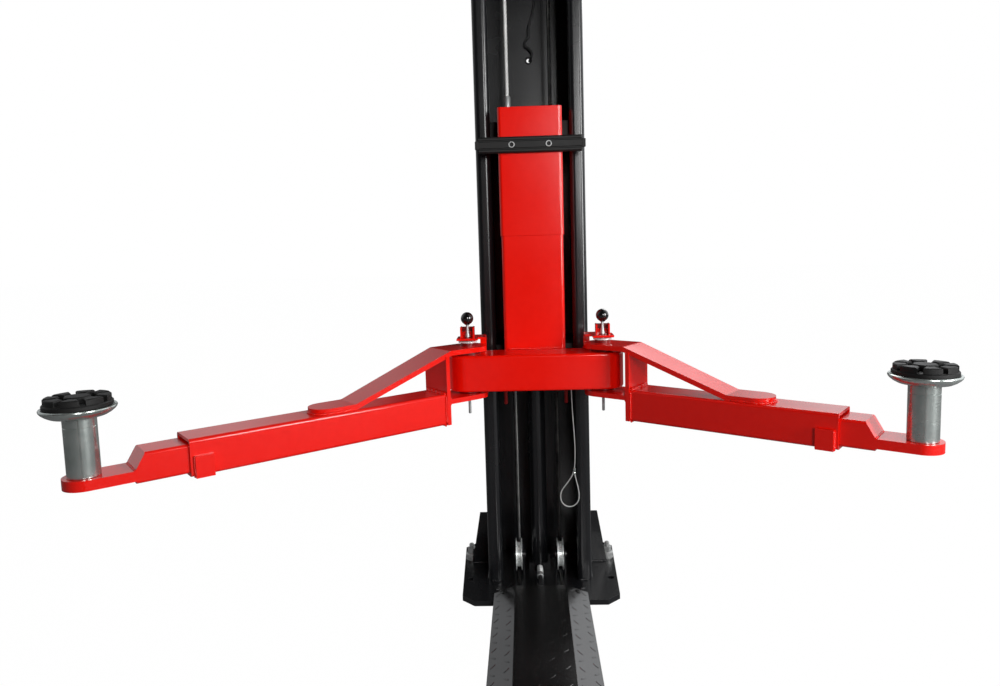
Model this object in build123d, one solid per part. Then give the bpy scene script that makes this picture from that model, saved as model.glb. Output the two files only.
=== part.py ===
from build123d import *
import math
import os

os.makedirs("parts", exist_ok=True)

# Share of a cord's shorter run that the arc at each end of it takes
ARC_SHARE = 0.45

# Post lines, in millimetres, with the floor at zero
CLEAR_SPAN = 2800.0
POST_HEIGHT = 2820.0
CAP_THICK = 10.0
CAP_OVERHANG = 8.0
CAP_CORNER = 14.0

# Column, a rolled channel with turned lips
COLUMN_WIDTH = 280.0
COLUMN_DEPTH = 210.0
COLUMN_WALL = 6.0
COLUMN_BEND = 8.0
SLOT_HALF = 101.0
LIP_RETURN = 22.0
WIRE_HOLE_R = 8.0
WIRE_HOLE_Z = 1430.0
WIRE_HOLE_X = 3.5

# Base plate, a little wider at the back, with a gusset each side and its anchors
BASE_THICK = 14.0
BASE_FRONT_HALF = 204.0
BASE_BACK_HALF = 220.0
BASE_FRONT = 112.0
BASE_BACK = 262.0
BASE_CORNER = 32.0
ANCHOR_HOLE_R = 9.0
SPARE_HOLE_X = 192.0
SPARE_HOLE_FRONT = 15.0
SPARE_HOLE_BACK = 235.0
ANCHOR_X = 196.0
ANCHOR_Y = 150.0
ANCHOR_STUD_R = 7.5
ANCHOR_SLEEVE_R = 17.0
ANCHOR_SLEEVE_H = 20.0
ANCHOR_SLEEVE_EDGE = 3.0
ANCHOR_STUD_FOOT = 0.5
ANCHOR_NUT_R = 13.0
ANCHOR_NUT_H = 14.0
ANCHOR_STUD_UP = 46.0
GUSSET_Y = 120.0
GUSSET_TOP = 161.0
GUSSET_TOP_OUT = 27.0
GUSSET_FOOT_OUT = 52.0
GUSSET_THICK = 10.0

# How far the carriages run below and above their height in the photograph
LIFT_DOWN = 450.0
LIFT_UP = 1350.0

# Balance cables and their sheaves
CABLE_R = 5.0
CABLE_X = 57.0
CABLE_Y = 99.0
GROOVE_GAP = 0.3
GROOVE_FLARE = 1.5
BOTTOM_WRAP_R = 39.0
BOTTOM_SHEAVE_Z = 64.0
BOTTOM_FLANGE_R = 43.0
SHEAVE_WIDTH = 17.0
SHEAVE_SHAFT_R = 8.0
SHEAVE_SHAFT_END = 4.0
RUNNING_GAP = 0.05
TOP_SHEAVE_DROP = 80.0
TOP_SHEAVE_Z = POST_HEIGHT - TOP_SHEAVE_DROP
TOP_FLANGE_R = 62.0
TOP_SHAFT_R = 10.0
CHEEK_THICK = 5.0
CHEEK_GAP = 1.5
CHEEK_HALF = 25.8
TOP_SHAFT_END = 4.0
SOCKET_R = 8.5
SOCKET_EDGE = 2.0
SOCKET_UP = 52.0
SOCKET_DOWN = 27.0

# Lifting cylinder, which raises the carriage two to one by chain
CYLINDER_Y = 100.0
CYLINDER_R = 24.0
CYLINDER_BORE_R = 19.0
GLAND_R = 28.0
GLAND_HEIGHT = 30.0
CYLINDER_FOOT = 60.0
CYLINDER_FOOT_H = 20.0
CYLINDER_BORE_Z = 42.0
ROD_R = 16.0
PISTON_R = 18.9
PISTON_H = 12.0
PISTON_END_GAP = 6.0
YOKE_GAP = 12.0
YOKE_HALF = 24.0
YOKE_DEPTH_HALF = 18.0
YOKE_THICK = 8.0
YOKE_CHEEK = 6.0
YOKE_CHEEK_HALF = 12.0
CHAIN_WHEEL_R = 21.0
CHAIN_WHEEL_UP = 23.0
PISTON_BOTTOM = CYLINDER_BORE_Z + PISTON_END_GAP + LIFT_DOWN / 2
GLAND_BOTTOM = PISTON_BOTTOM + PISTON_H + LIFT_UP / 2 + PISTON_END_GAP
CYLINDER_TOP = GLAND_BOTTOM + GLAND_HEIGHT
YOKE_Z = CYLINDER_TOP + LIFT_DOWN / 2 + YOKE_GAP
HOSE_R = 6.0
HOSE_Z = 24.0
FERRULE_R = 9.0
PORT_R = 8.0
FERRULE_BACK = 62.0
FERRULE_LENGTH = 60.0

# Hose route from the post a ferrule to the post b ferrule, x, y, z from post a's front face
HOSE_ROUTE = [
    (0, 2, 24), (1, -70, 24.5), (0, -140, 20), (3, -230, 10), (9, -350, 6.6), (14, -510, 6.5),
    (12, -680, 6.5), (3, -850, 6.5), (-8, -1020, 6.5), (-15, -1190, 6.5), (-13, -1360, 6.5),
    (-4, -1530, 6.5), (8, -1700, 6.5), (14, -1870, 6.5), (13, -2040, 6.5), (6, -2210, 6.5),
    (1, -2370, 6.5), (-3, -2480, 6.6), (-4, -2580, 10), (0, -2660, 20), (-1, -2730, 24.5), (0, -2802, 24),
]

# Floor cover of chequered sheet
COVER_HALF = 123.0
COVER_FLAT_HALF = 67.0
COVER_HEIGHT = 35.0
COVER_SHEET = 3.0
COVER_LAP = 42.0
COVER_PLATE_GAP = 1.0

# Carriage
CARRIAGE_TOP = 1265.0
CARRIAGE_SEAM = 946.0
CARRIAGE_BOTTOM = 567.0
UPPER_HALF = 80.5
LOWER_HALF = 78.5
UPPER_FRONT = 47.0
LOWER_FRONT = 45.0
CARRIAGE_BACK = 150.0
CARRIAGE_WALL = 6.0
CARRIAGE_BEND = 3.0
LUG_THICK = 12.0
LUG_HALF = 18.0
SLIDER_HALF = 128.0
SLIDER_FRONT = 28.0
SLIDER_HEIGHT = 60.0
SLIDER_UPPER_Z = 1180.0
SLIDER_LOWER_Z = 600.0
TIE_THICK = 8.0
FOOT_PIN_R = 5.0
FOOT_PIN_X = 80.0
FOOT_PIN_Y = 10.0
FOOT_PIN_BOTTOM = 502.0
FOOT_PIN_SUNK = 5.0
RELEASE_LUG_HALF = 6.0
RELEASE_LUG_H = 10.0

# Arm beam across the front, with its rounded ends
BEAM_TOP = 657.0
PIVOT_X = 168.0
PIVOT_Y = -95.0
BEAM_R = 50.0
BEAM_EDGE = 6.0
PIN_R = 19.0
PIN_TOP = 684.0
PIN_BOTTOM = 545.0
PIN_EDGE = 2.0
WASHER_R = 30.0

# Door guard strip
STRIP_HALF = 137.0
STRIP_Z = 1151.0
STRIP_HEIGHT = 40.0
STRIP_THICK = 15.0
STRIP_NOTCH = 9.0
STRIP_EDGE = 4.0
STRIP_SINK = 3.0
STRIP_SCREW_X = 46.0
STRIP_SCREW_R = 7.0

# Arm lock
LOCK_PLATE_Z = 692.0
LOCK_PLATE_THICK = 5.0
LOCK_PLATE_HALF = 26.0
LOCK_EAR_TOP = 724.0
LOCK_EAR_HALF = 17.5
LOCK_EAR_THICK = 4.0
LOCK_EAR_DEPTH_HALF = 12.0
LOCK_CROSS_H = 14.0
LOCK_TAB_ARM = 20.0
LOCK_TAB_INNER = 124.0
LOCK_TAB_OUTER = 140.0
LOCK_TAB_BOTTOM = 645.0
LOCK_ROD_R = 3.5
LOCK_ROD_BOTTOM = 504.0
LOCK_ROD_EDGE = 1.0
KNOB_Z = 745.0
KNOB_R = 15.7

# Outer arm, its clevis and the bent strap on top
ARM_WIDTH = 89.0
ARM_HEIGHT = 75.0
ARM_TOP = 573.0
ARM_WALL = 6.0
ARM_CORNER = 7.0
ARM_ROOT = 98.0
END_PLATE = 10.0
END_PLATE_HALF = 48.0
CLEVIS_R = 47.0
CLEVIS_PLATE = 12.0
STRAP_BOTTOM = 665.0
EAR_TOP = 560.0
STRAP_UPPER_BEND = 80.0
STRAP_LOWER_BEND = 330.0
STRAP_END = 426.0
STRAP_END_R = 38.0
STRAP_BEND_R = 20.0
STRAP_LEAN = 2.0
STOP_LENGTH = 36.0
STOP_SETBACK = 7.0
STOP_HEIGHT = 44.0
STOP_THICK = 8.0
STOP_DROP = 2.0

# Inner arm and its pad plate
INNER_WIDTH = 76.0
INNER_HEIGHT = 58.0
INNER_WALL = 5.0
INNER_CORNER = 6.0
SLIDE_GAP = 0.5
TIP_SLOPE_LENGTH = 18.0
TIP_SLOPE_HEIGHT = 30.0
PAD_PLATE_TOP = 530.0
PAD_PLATE_THICK = 20.0
PAD_PLATE_ROOT = 60.0
PAD_HOLE_R = 17.5

# Lifting pad
POST_R = 28.8
POST_SEAT = 0.3
POST_SEAM_Z = 624.0
POST_GROOVE = 1.0
POST_TOP = 640.0
DISH_STEP = 3.0
DISH_FLOOR_R = 20.0
DISH_LIP = 4.0
DISH_R = 65.0
DISH_RIM_Z = 661.0
DISH_SHEET = 5.0
RUBBER_R = 59.0
RUBBER_TOP = 669.0
RUBBER_EDGE = 2.0
LUG_TOP = 680.0
LUG_OUTER_R = 56.0
LUG_INNER_R = 32.0
LUG_HUB_R = 22.0
LUG_GROOVE = 10.0
LUG_GROOVES = 4

# The two arm sizes: swing from the cross line and pad centre, then how far the tip lies back from
# the pad, the mouth of the outer arm back from the tip, and the inner arm inside the mouth
LONG_ARM = dict(swing=39.2, pad=866.0, tip_back=80.0, mouth_back=96.0, lap=400.0)
SHORT_ARM = dict(swing=36.1, pad=709.0, tip_back=77.0, mouth_back=66.0, lap=350.0)

# Safety release cable that hangs under the carriage and ends in a crimped pull loop
RELEASE_R = 1.3
RELEASE_X = 91.0
RELEASE_Y = -20.0
RELEASE_TOP = 600.0
RELEASE_ROUTE = [
    (91.0, -20, 600), (92.2, -20, 515), (97.2, -20, 435), (99.4, -20, 378), (96.6, -20, 320),
    (74, -20, 289), (58.5, -19.8, 268), (59, -19.4, 243), (72, -19, 228.5), (91, -18.6, 227),
    (106.5, -18.2, 240.5), (108.5, -17.6, 263), (103.5, -17.2, 289.5), (95.4, -16.8, 323),
]
CRIMP_X = 96.2
CRIMP_Y = -18.4
CRIMP_TOP = 333.0
CRIMP_BOTTOM = 315.0
CRIMP_R = 4.5

# Switch wire, from the hole in the back wall up to the top cap
WIRE_R = 3.5
WIRE_ROUTE = [
    (6, 208, 1429), (8.5, 196, 1433), (15, 195, 1446), (6, 196, 1459), (-8, 198.5, 1466), (-6, 199.8, 1482),
    (6, 200.2, 1494), (3, 200.2, 1513), (10, 200.2, 1534), (19, 200.2, 1562), (24.5, 200.2, 1600),
    (26, 200.2, 1665), (21, 200.2, 1760), (15, 200.2, 1860), (12, 200.2, 1962), (14, 200.2, 2064),
    (19, 200.2, 2166), (22, 200.2, 2268), (20, 200.2, 2370), (13, 200.2, 2472), (8, 200.2, 2574),
    (5, 200.2, 2676), (6, 200.2, 2755), (7, 200.2, 2810),
]


def slab(x0, x1, y0, y1, z0, z1):
    return Pos((x0 + x1) / 2, (y0 + y1) / 2, (z0 + z1) / 2) * Box(x1 - x0, y1 - y0, z1 - z0)


def rod_z(x, y, z0, z1, radius):
    return Pos(x, y, (z0 + z1) / 2) * Cylinder(radius, z1 - z0)


def rod_x(x0, x1, y, z, radius):
    return Pos((x0 + x1) / 2, y, z) * Rot(0, 90, 0) * Cylinder(radius, x1 - x0)


def rod_y(x, y0, y1, z, radius):
    return Pos(x, (y0 + y1) / 2, z) * Rot(90, 0, 0) * Cylinder(radius, y1 - y0)


def bent_channel(outer, inner, outer_r, inner_r):
    skin = FilletPolyline(*outer, radius=outer_r)
    back = FilletPolyline(*inner, radius=inner_r)
    ends = [Line(outer[0], inner[0]), Line(outer[-1], inner[-1])]
    return make_face(skin.edges() + back.edges() + ends)


def spun(points):
    face = make_face(Polyline(*[(r, z) for r, z in points], close=True).edges())
    return revolve(Plane.XZ * face, Axis.Z)


def tube(path, radius):
    start = path @ 0
    section = Plane(origin=start, z_dir=path % 0) * Circle(radius)
    return sweep(section, path=path)


# A cord's path, whose arcs are as large as the two runs at each corner allow
def cord_path(name, route):
    knots = [Vector(*point) for point in route]
    radii = []
    for before, corner, after in zip(knots, knots[1:], knots[2:]):
        turn = math.radians((corner - before).get_angle(after - corner))
        shorter = min((corner - before).length, (after - corner).length)
        radii.append(ARC_SHARE * shorter / math.tan(turn / 2))
    path = FilletPolyline(*route, radius=radii)
    print(name, "length", round(path.length), "arc radii", [round(r, 1) for r in radii])
    return path


# Column
def column():
    half = COLUMN_WIDTH / 2
    wall = COLUMN_WALL
    outer = [(-SLOT_HALF, LIP_RETURN), (-SLOT_HALF, 0), (-half, 0), (-half, COLUMN_DEPTH)]
    inner = [
        (-SLOT_HALF - wall, LIP_RETURN),
        (-SLOT_HALF - wall, wall),
        (-half + wall, wall),
        (-half + wall, COLUMN_DEPTH - wall),
    ]
    outer = outer + [(-x, y) for x, y in reversed(outer)]
    inner = inner + [(-x, y) for x, y in reversed(inner)]
    section = bent_channel(outer, inner, COLUMN_BEND + wall, COLUMN_BEND)
    body = Pos(0, 0, BASE_THICK) * extrude(section, POST_HEIGHT - CAP_THICK - BASE_THICK)
    hole = rod_y(WIRE_HOLE_X, COLUMN_DEPTH - 2 * wall, COLUMN_DEPTH + wall, WIRE_HOLE_Z, WIRE_HOLE_R)
    return body - hole


# Base plate with its two gussets
def base_plate():
    outline = Polyline(
        (-BASE_FRONT_HALF, -BASE_FRONT),
        (BASE_FRONT_HALF, -BASE_FRONT),
        (BASE_BACK_HALF, BASE_BACK),
        (-BASE_BACK_HALF, BASE_BACK),
        close=True,
    )
    plate = extrude(make_face(outline.edges()), BASE_THICK)
    plate = chamfer(plate.edges().filter_by(Axis.Z), BASE_CORNER)
    for x in (-SPARE_HOLE_X, SPARE_HOLE_X):
        for y in (SPARE_HOLE_FRONT, SPARE_HOLE_BACK):
            plate -= rod_z(x, y, -1, BASE_THICK + 1, ANCHOR_HOLE_R)
    for x in (-ANCHOR_X, ANCHOR_X):
        plate -= rod_z(x, ANCHOR_Y, -1, BASE_THICK + 1, ANCHOR_HOLE_R)
    edge = COLUMN_WIDTH / 2
    outline = Polyline(
        (edge, BASE_THICK),
        (edge + GUSSET_FOOT_OUT, BASE_THICK),
        (edge + GUSSET_TOP_OUT, GUSSET_TOP),
        (edge, GUSSET_TOP),
        close=True,
    )
    web = extrude(Plane.XZ * make_face(outline.edges()), GUSSET_THICK, dir=(0, 1, 0))
    right = Pos(0, GUSSET_Y, 0) * web
    return plate + right + mirror(right, Plane.YZ)


def anchor_bolts():
    solids = []
    top = BASE_THICK + ANCHOR_SLEEVE_H
    for x in (-ANCHOR_X, ANCHOR_X):
        sleeve = rod_z(x, ANCHOR_Y, BASE_THICK, top, ANCHOR_SLEEVE_R)
        sleeve = chamfer(sleeve.edges().group_by(Axis.Z)[-1], ANCHOR_SLEEVE_EDGE)
        nut = extrude(Pos(x, ANCHOR_Y, top) * RegularPolygon(ANCHOR_NUT_R, 6), ANCHOR_NUT_H)
        stud = rod_z(x, ANCHOR_Y, ANCHOR_STUD_FOOT, BASE_THICK + ANCHOR_STUD_UP, ANCHOR_STUD_R)
        solids.append(sleeve + nut + stud)
    return Compound(children=solids)


# Sheaves
def sheave(flange_r, wrap_r, width, bore_r):
    groove = wrap_r - CABLE_R - GROOVE_GAP
    half = width / 2
    seat = CABLE_R + GROOVE_GAP
    mouth = seat + GROOVE_FLARE
    profile = [
        (bore_r, -half), (flange_r, -half), (flange_r, -mouth), (groove, -seat),
        (groove, seat), (flange_r, mouth), (flange_r, half), (bore_r, half),
    ]
    return spun(profile)


def bottom_sheave(side):
    wheel = sheave(BOTTOM_FLANGE_R, BOTTOM_WRAP_R, SHEAVE_WIDTH, SHEAVE_SHAFT_R + RUNNING_GAP)
    y = CABLE_Y - BOTTOM_WRAP_R
    return Pos(side * CABLE_X, y, BOTTOM_SHEAVE_Z) * Rot(0, 90, 0) * wheel


def sheave_bracket():
    y = CABLE_Y - BOTTOM_WRAP_R
    reach = SHEAVE_WIDTH / 2 + CHEEK_GAP
    end = reach + CHEEK_THICK + SHEAVE_SHAFT_END
    half = CHEEK_HALF
    brackets = []
    for x in (-CABLE_X, CABLE_X):
        body = rod_x(x - end, x + end, y, BOTTOM_SHEAVE_Z, SHEAVE_SHAFT_R)
        for x0 in (x - reach - CHEEK_THICK, x + reach):
            cheek = slab(x0, x0 + CHEEK_THICK, y - half, y + half, BASE_THICK, BOTTOM_SHEAVE_Z)
            body = body + cheek + rod_x(x0, x0 + CHEEK_THICK, y, BOTTOM_SHEAVE_Z, half)
        brackets.append(body)
    return Compound(children=brackets)


def top_cap():
    under = POST_HEIGHT - CAP_THICK
    edge = CAP_OVERHANG
    half = COLUMN_WIDTH / 2 + edge
    plate = slab(-half, half, -edge, COLUMN_DEPTH + edge, under, POST_HEIGHT)
    plate = chamfer(plate.edges().filter_by(Axis.Z), CAP_CORNER)
    reach = SHEAVE_WIDTH / 2 + CHEEK_GAP
    width = TOP_SHAFT_R * 3
    for y in (CABLE_Y - reach - CHEEK_THICK, CABLE_Y + reach):
        plate += slab(-width, width, y, y + CHEEK_THICK, TOP_SHEAVE_Z - width, under)
    shaft_end = reach + CHEEK_THICK + TOP_SHAFT_END
    plate += rod_y(0, CABLE_Y - shaft_end, CABLE_Y + shaft_end, TOP_SHEAVE_Z, TOP_SHAFT_R)
    wheel = sheave(TOP_FLANGE_R, CABLE_X, SHEAVE_WIDTH, TOP_SHAFT_R + RUNNING_GAP)
    wheel = Pos(0, CABLE_Y, TOP_SHEAVE_Z) * Rot(90, 0, 0) * wheel
    return Compound(children=[plate, wheel])


# Balance cables, the crossing one in two lengths that meet where it runs on to the foot sheave
def crossing_cable():
    far_y = -CLEAR_SPAN - CABLE_Y
    wrap = BOTTOM_WRAP_R
    quarter = wrap * (1 - math.sqrt(0.5))
    low = BOTTOM_SHEAVE_Z - wrap
    over = ThreePointArc(
        (-CABLE_X, CABLE_Y, TOP_SHEAVE_Z),
        (0, CABLE_Y, TOP_SHEAVE_Z + CABLE_X),
        (CABLE_X, CABLE_Y, TOP_SHEAVE_Z),
    )
    down = Line((CABLE_X, CABLE_Y, TOP_SHEAVE_Z), (CABLE_X, CABLE_Y, BOTTOM_SHEAVE_Z + RUNNING_GAP))
    near = ThreePointArc(
        (CABLE_X, CABLE_Y, BOTTOM_SHEAVE_Z),
        (CABLE_X, CABLE_Y - quarter, low + quarter),
        (CABLE_X, CABLE_Y - wrap, low),
    )
    across = Line((CABLE_X, CABLE_Y - wrap, low), (CABLE_X, far_y + wrap, low))
    rise = ThreePointArc(
        (CABLE_X, far_y + wrap, low),
        (CABLE_X, far_y + quarter, low + quarter),
        (CABLE_X, far_y, BOTTOM_SHEAVE_Z),
    )
    upper = tube(Wire([over, down]), CABLE_R)
    lower = tube(Wire([near, across, rise]), CABLE_R)
    return Compound(children=[upper, lower])


def rise_cable():
    return rod_z(-CABLE_X, CABLE_Y, CARRIAGE_TOP + SOCKET_UP, TOP_SHEAVE_Z, CABLE_R)


def pull_cable():
    return rod_z(-CABLE_X, CABLE_Y, BOTTOM_SHEAVE_Z, CARRIAGE_BOTTOM - SOCKET_DOWN, CABLE_R)


# Cylinder, its rod and the hose
def cylinder():
    half = CYLINDER_FOOT / 2
    foot_top = BASE_THICK + CYLINDER_FOOT_H
    foot = slab(-half, half, CYLINDER_Y - half, CYLINDER_Y + half, BASE_THICK, foot_top)
    front = CYLINDER_Y - half
    foot += rod_y(0, FERRULE_BACK, front, HOSE_Z, PORT_R)
    body = foot + rod_z(0, CYLINDER_Y, foot_top, CYLINDER_TOP, CYLINDER_R)
    body += rod_z(0, CYLINDER_Y, GLAND_BOTTOM, CYLINDER_TOP, GLAND_R)
    body -= rod_z(0, CYLINDER_Y, CYLINDER_BORE_Z, GLAND_BOTTOM, CYLINDER_BORE_R)
    return body - rod_z(0, CYLINDER_Y, GLAND_BOTTOM - 1, CYLINDER_TOP + 1, ROD_R + RUNNING_GAP)


def piston_rod():
    y = CYLINDER_Y
    body = rod_z(0, y, PISTON_BOTTOM, YOKE_Z, ROD_R)
    body += rod_z(0, y, PISTON_BOTTOM, PISTON_BOTTOM + PISTON_H, PISTON_R)
    half = YOKE_HALF
    depth = YOKE_DEPTH_HALF
    body += slab(-half, half, y - depth, y + depth, YOKE_Z, YOKE_Z + YOKE_THICK)
    wheel_z = YOKE_Z + CHAIN_WHEEL_UP
    cheek = YOKE_CHEEK_HALF
    for x in (-half, half - YOKE_CHEEK):
        body += slab(x, x + YOKE_CHEEK, y - cheek, y + cheek, YOKE_Z, wheel_z + cheek)
    return body + rod_x(-half + 1, half - 1, y, wheel_z, CHAIN_WHEEL_R)


def hydraulic_hose():
    hose = tube(cord_path("hydraulic_hose", HOSE_ROUTE), HOSE_R)
    for y in (FERRULE_BACK, -CLEAR_SPAN - FERRULE_BACK + FERRULE_LENGTH):
        hose += rod_y(0, y - FERRULE_LENGTH, y, HOSE_Z, FERRULE_R)
    return hose


# Floor cover, whose turned-down edges stand on the floor and stop at the base plates
def floor_cover():
    y_near = -BASE_FRONT + COVER_LAP
    length = CLEAR_SPAN + 2 * y_near
    run = COVER_HALF - COVER_FLAT_HALF
    rise = COVER_HEIGHT - BASE_THICK
    slope = math.hypot(run, rise)
    knee = COVER_FLAT_HALF - COVER_SHEET * (slope - run) / rise
    edge = COVER_HALF - COVER_SHEET
    edge_z = COVER_HEIGHT - (COVER_SHEET * slope + (edge - COVER_FLAT_HALF) * rise) / run
    inside = COVER_HEIGHT - COVER_SHEET
    outline = Polyline(
        (-COVER_HALF, 0), (-COVER_HALF, BASE_THICK), (-COVER_FLAT_HALF, COVER_HEIGHT),
        (COVER_FLAT_HALF, COVER_HEIGHT), (COVER_HALF, BASE_THICK), (COVER_HALF, 0), (edge, 0),
        (edge, edge_z), (knee, inside), (-knee, inside), (-edge, edge_z), (-edge, 0), close=True,
    )
    sheet = extrude(Plane.XZ * make_face(outline.edges()), length, dir=(0, -1, 0))
    sheet = Pos(0, y_near, 0) * sheet
    room = COVER_LAP + COVER_PLATE_GAP
    top = BASE_THICK
    for y in (y_near, -CLEAR_SPAN - y_near + room):
        sheet -= slab(-COVER_HALF - 1, COVER_HALF + 1, y - room, y + 1, -1, top)
    return sheet


# Carriage box
def carriage_channel(half, front, z0, z1):
    wall = CARRIAGE_WALL
    outer = [(-half, CARRIAGE_BACK), (-half, -front), (half, -front), (half, CARRIAGE_BACK)]
    inner = [
        (-half + wall, CARRIAGE_BACK), (-half + wall, -front + wall),
        (half - wall, -front + wall), (half - wall, CARRIAGE_BACK),
    ]
    section = bent_channel(outer, inner, CARRIAGE_BEND + wall, CARRIAGE_BEND)
    return Pos(0, 0, z0) * extrude(section, z1 - z0)


def carriage_frame():
    body = carriage_channel(UPPER_HALF, UPPER_FRONT, CARRIAGE_SEAM, CARRIAGE_TOP)
    body += carriage_channel(LOWER_HALF, LOWER_FRONT, CARRIAGE_BOTTOM, CARRIAGE_SEAM)
    side = LOWER_HALF - CARRIAGE_WALL / 2
    for z in (SLIDER_UPPER_Z, SLIDER_LOWER_Z):
        for x0, x1 in ((-SLIDER_HALF, -side), (side, SLIDER_HALF)):
            body += slab(x0, x1, SLIDER_FRONT, CARRIAGE_BACK, z, z + SLIDER_HEIGHT)
        body += slab(-side, side, CARRIAGE_BACK - TIE_THICK, CARRIAGE_BACK, z, z + SLIDER_HEIGHT)
    reach = CABLE_X - 2 * SOCKET_R
    for z in (CARRIAGE_TOP - LUG_THICK, CARRIAGE_BOTTOM + LUG_THICK / 2):
        body += slab(-side, -reach, CABLE_Y - LUG_HALF, CABLE_Y + LUG_HALF, z, z + LUG_THICK)
    for x in (-FOOT_PIN_X, FOOT_PIN_X):
        body += rod_z(x, FOOT_PIN_Y, FOOT_PIN_BOTTOM, CARRIAGE_BOTTOM + FOOT_PIN_SUNK, FOOT_PIN_R)
    lug = RELEASE_LUG_HALF
    top = RELEASE_TOP + RELEASE_LUG_H
    return body + slab(side, RELEASE_X + lug, RELEASE_Y - lug, RELEASE_Y + lug, RELEASE_TOP, top)


def cable_sockets():
    edge = SOCKET_EDGE
    upper = rod_z(-CABLE_X, CABLE_Y, CARRIAGE_TOP, CARRIAGE_TOP + SOCKET_UP, SOCKET_R)
    upper = chamfer(upper.edges().group_by(Axis.Z)[-1], edge)
    lug_under = CARRIAGE_BOTTOM + LUG_THICK / 2
    lower = rod_z(-CABLE_X, CABLE_Y, CARRIAGE_BOTTOM - SOCKET_DOWN, lug_under, SOCKET_R)
    return Compound(children=[upper, chamfer(lower.edges().group_by(Axis.Z)[0], edge)])


# Arm beam with the lock brackets behind and above it
def lock_bracket():
    x = -PIVOT_X
    top = LOCK_PLATE_Z + LOCK_PLATE_THICK
    back = PIVOT_Y + BEAM_R
    half = LOCK_PLATE_HALF
    body = slab(x - half, x + half, PIVOT_Y - half, PIVOT_Y + half, LOCK_PLATE_Z, top)
    tab_back = back + LOCK_PLATE_THICK
    tab_end = LOCK_TAB_OUTER + LOCK_TAB_ARM
    body += slab(-tab_end, -LOCK_TAB_INNER, PIVOT_Y, tab_back, LOCK_PLATE_Z, top)
    body += slab(-LOCK_TAB_OUTER, -LOCK_TAB_INNER, back, tab_back, LOCK_TAB_BOTTOM, top)
    ear = LOCK_EAR_HALF
    thick = LOCK_EAR_THICK
    depth = LOCK_EAR_DEPTH_HALF
    for x0 in (x - ear, x + ear - thick):
        body += slab(x0, x0 + thick, PIVOT_Y - depth, PIVOT_Y + depth, top, LOCK_EAR_TOP)
    body += slab(x - ear, x + ear, PIVOT_Y + depth - thick, PIVOT_Y + depth, top, top + LOCK_CROSS_H)
    return body - rod_z(x, PIVOT_Y, LOCK_PLATE_Z - 1, top + 1, LOCK_ROD_R + RUNNING_GAP)


def arm_beam():
    plan = slab(-PIVOT_X, PIVOT_X, PIVOT_Y - BEAM_R, PIVOT_Y + BEAM_R, CARRIAGE_BOTTOM, BEAM_TOP)
    for x in (-PIVOT_X, PIVOT_X):
        plan += rod_z(x, PIVOT_Y, CARRIAGE_BOTTOM, BEAM_TOP, BEAM_R)
    rims = plan.edges().group_by(Axis.Z)
    body = fillet(rims[0] + rims[-1], BEAM_EDGE)
    for x in (-PIVOT_X, PIVOT_X):
        body -= rod_z(x, PIVOT_Y, CARRIAGE_BOTTOM - 1, BEAM_TOP + 1, PIN_R + RUNNING_GAP)
    bracket = lock_bracket()
    return body + bracket + mirror(bracket, Plane.YZ)


def pivot_pins():
    solids = []
    for x in (-PIVOT_X, PIVOT_X):
        pin = rod_z(x, PIVOT_Y, PIN_BOTTOM, PIN_TOP, PIN_R)
        pin = chamfer(pin.edges().group_by(Axis.Z)[-1], PIN_EDGE)
        pin += rod_z(x, PIVOT_Y, BEAM_TOP, STRAP_BOTTOM - POST_SEAT, WASHER_R)
        pin += rod_z(x, PIVOT_Y, EAR_TOP + POST_SEAT, CARRIAGE_BOTTOM, WASHER_R)
        solids.append(pin - rod_z(x, PIVOT_Y, PIN_BOTTOM - 1, PIN_TOP + 1, LOCK_ROD_R + RUNNING_GAP))
    return Compound(children=solids)


def guard_strip():
    front = -UPPER_FRONT - STRIP_THICK
    top = STRIP_Z + STRIP_HEIGHT
    body = slab(-STRIP_HALF, STRIP_HALF, front, -UPPER_FRONT, STRIP_Z, top)
    body = chamfer(body.edges().filter_by(Axis.X).group_by(Axis.Y)[0], STRIP_EDGE)
    for side in (-1, 1):
        x0, x1 = sorted((side * (STRIP_HALF - STRIP_NOTCH), side * (STRIP_HALF + 1)))
        for z0, z1 in ((STRIP_Z - 1, STRIP_Z + STRIP_NOTCH), (top - STRIP_NOTCH, top + 1)):
            body -= slab(x0, x1, front - 1, front + STRIP_THICK / 2, z0, z1)
        screw_x = side * STRIP_SCREW_X
        sink = front + STRIP_SINK
        body -= rod_y(screw_x, front - 1, sink, STRIP_Z + STRIP_HEIGHT / 2, STRIP_SCREW_R)
    return body


def lock_rod():
    rod = rod_z(0, 0, LOCK_ROD_BOTTOM, KNOB_Z, LOCK_ROD_R)
    rod = chamfer(rod.edges().group_by(Axis.Z)[0], LOCK_ROD_EDGE)
    return rod + Pos(0, 0, KNOB_Z) * Sphere(KNOB_R)


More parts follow.
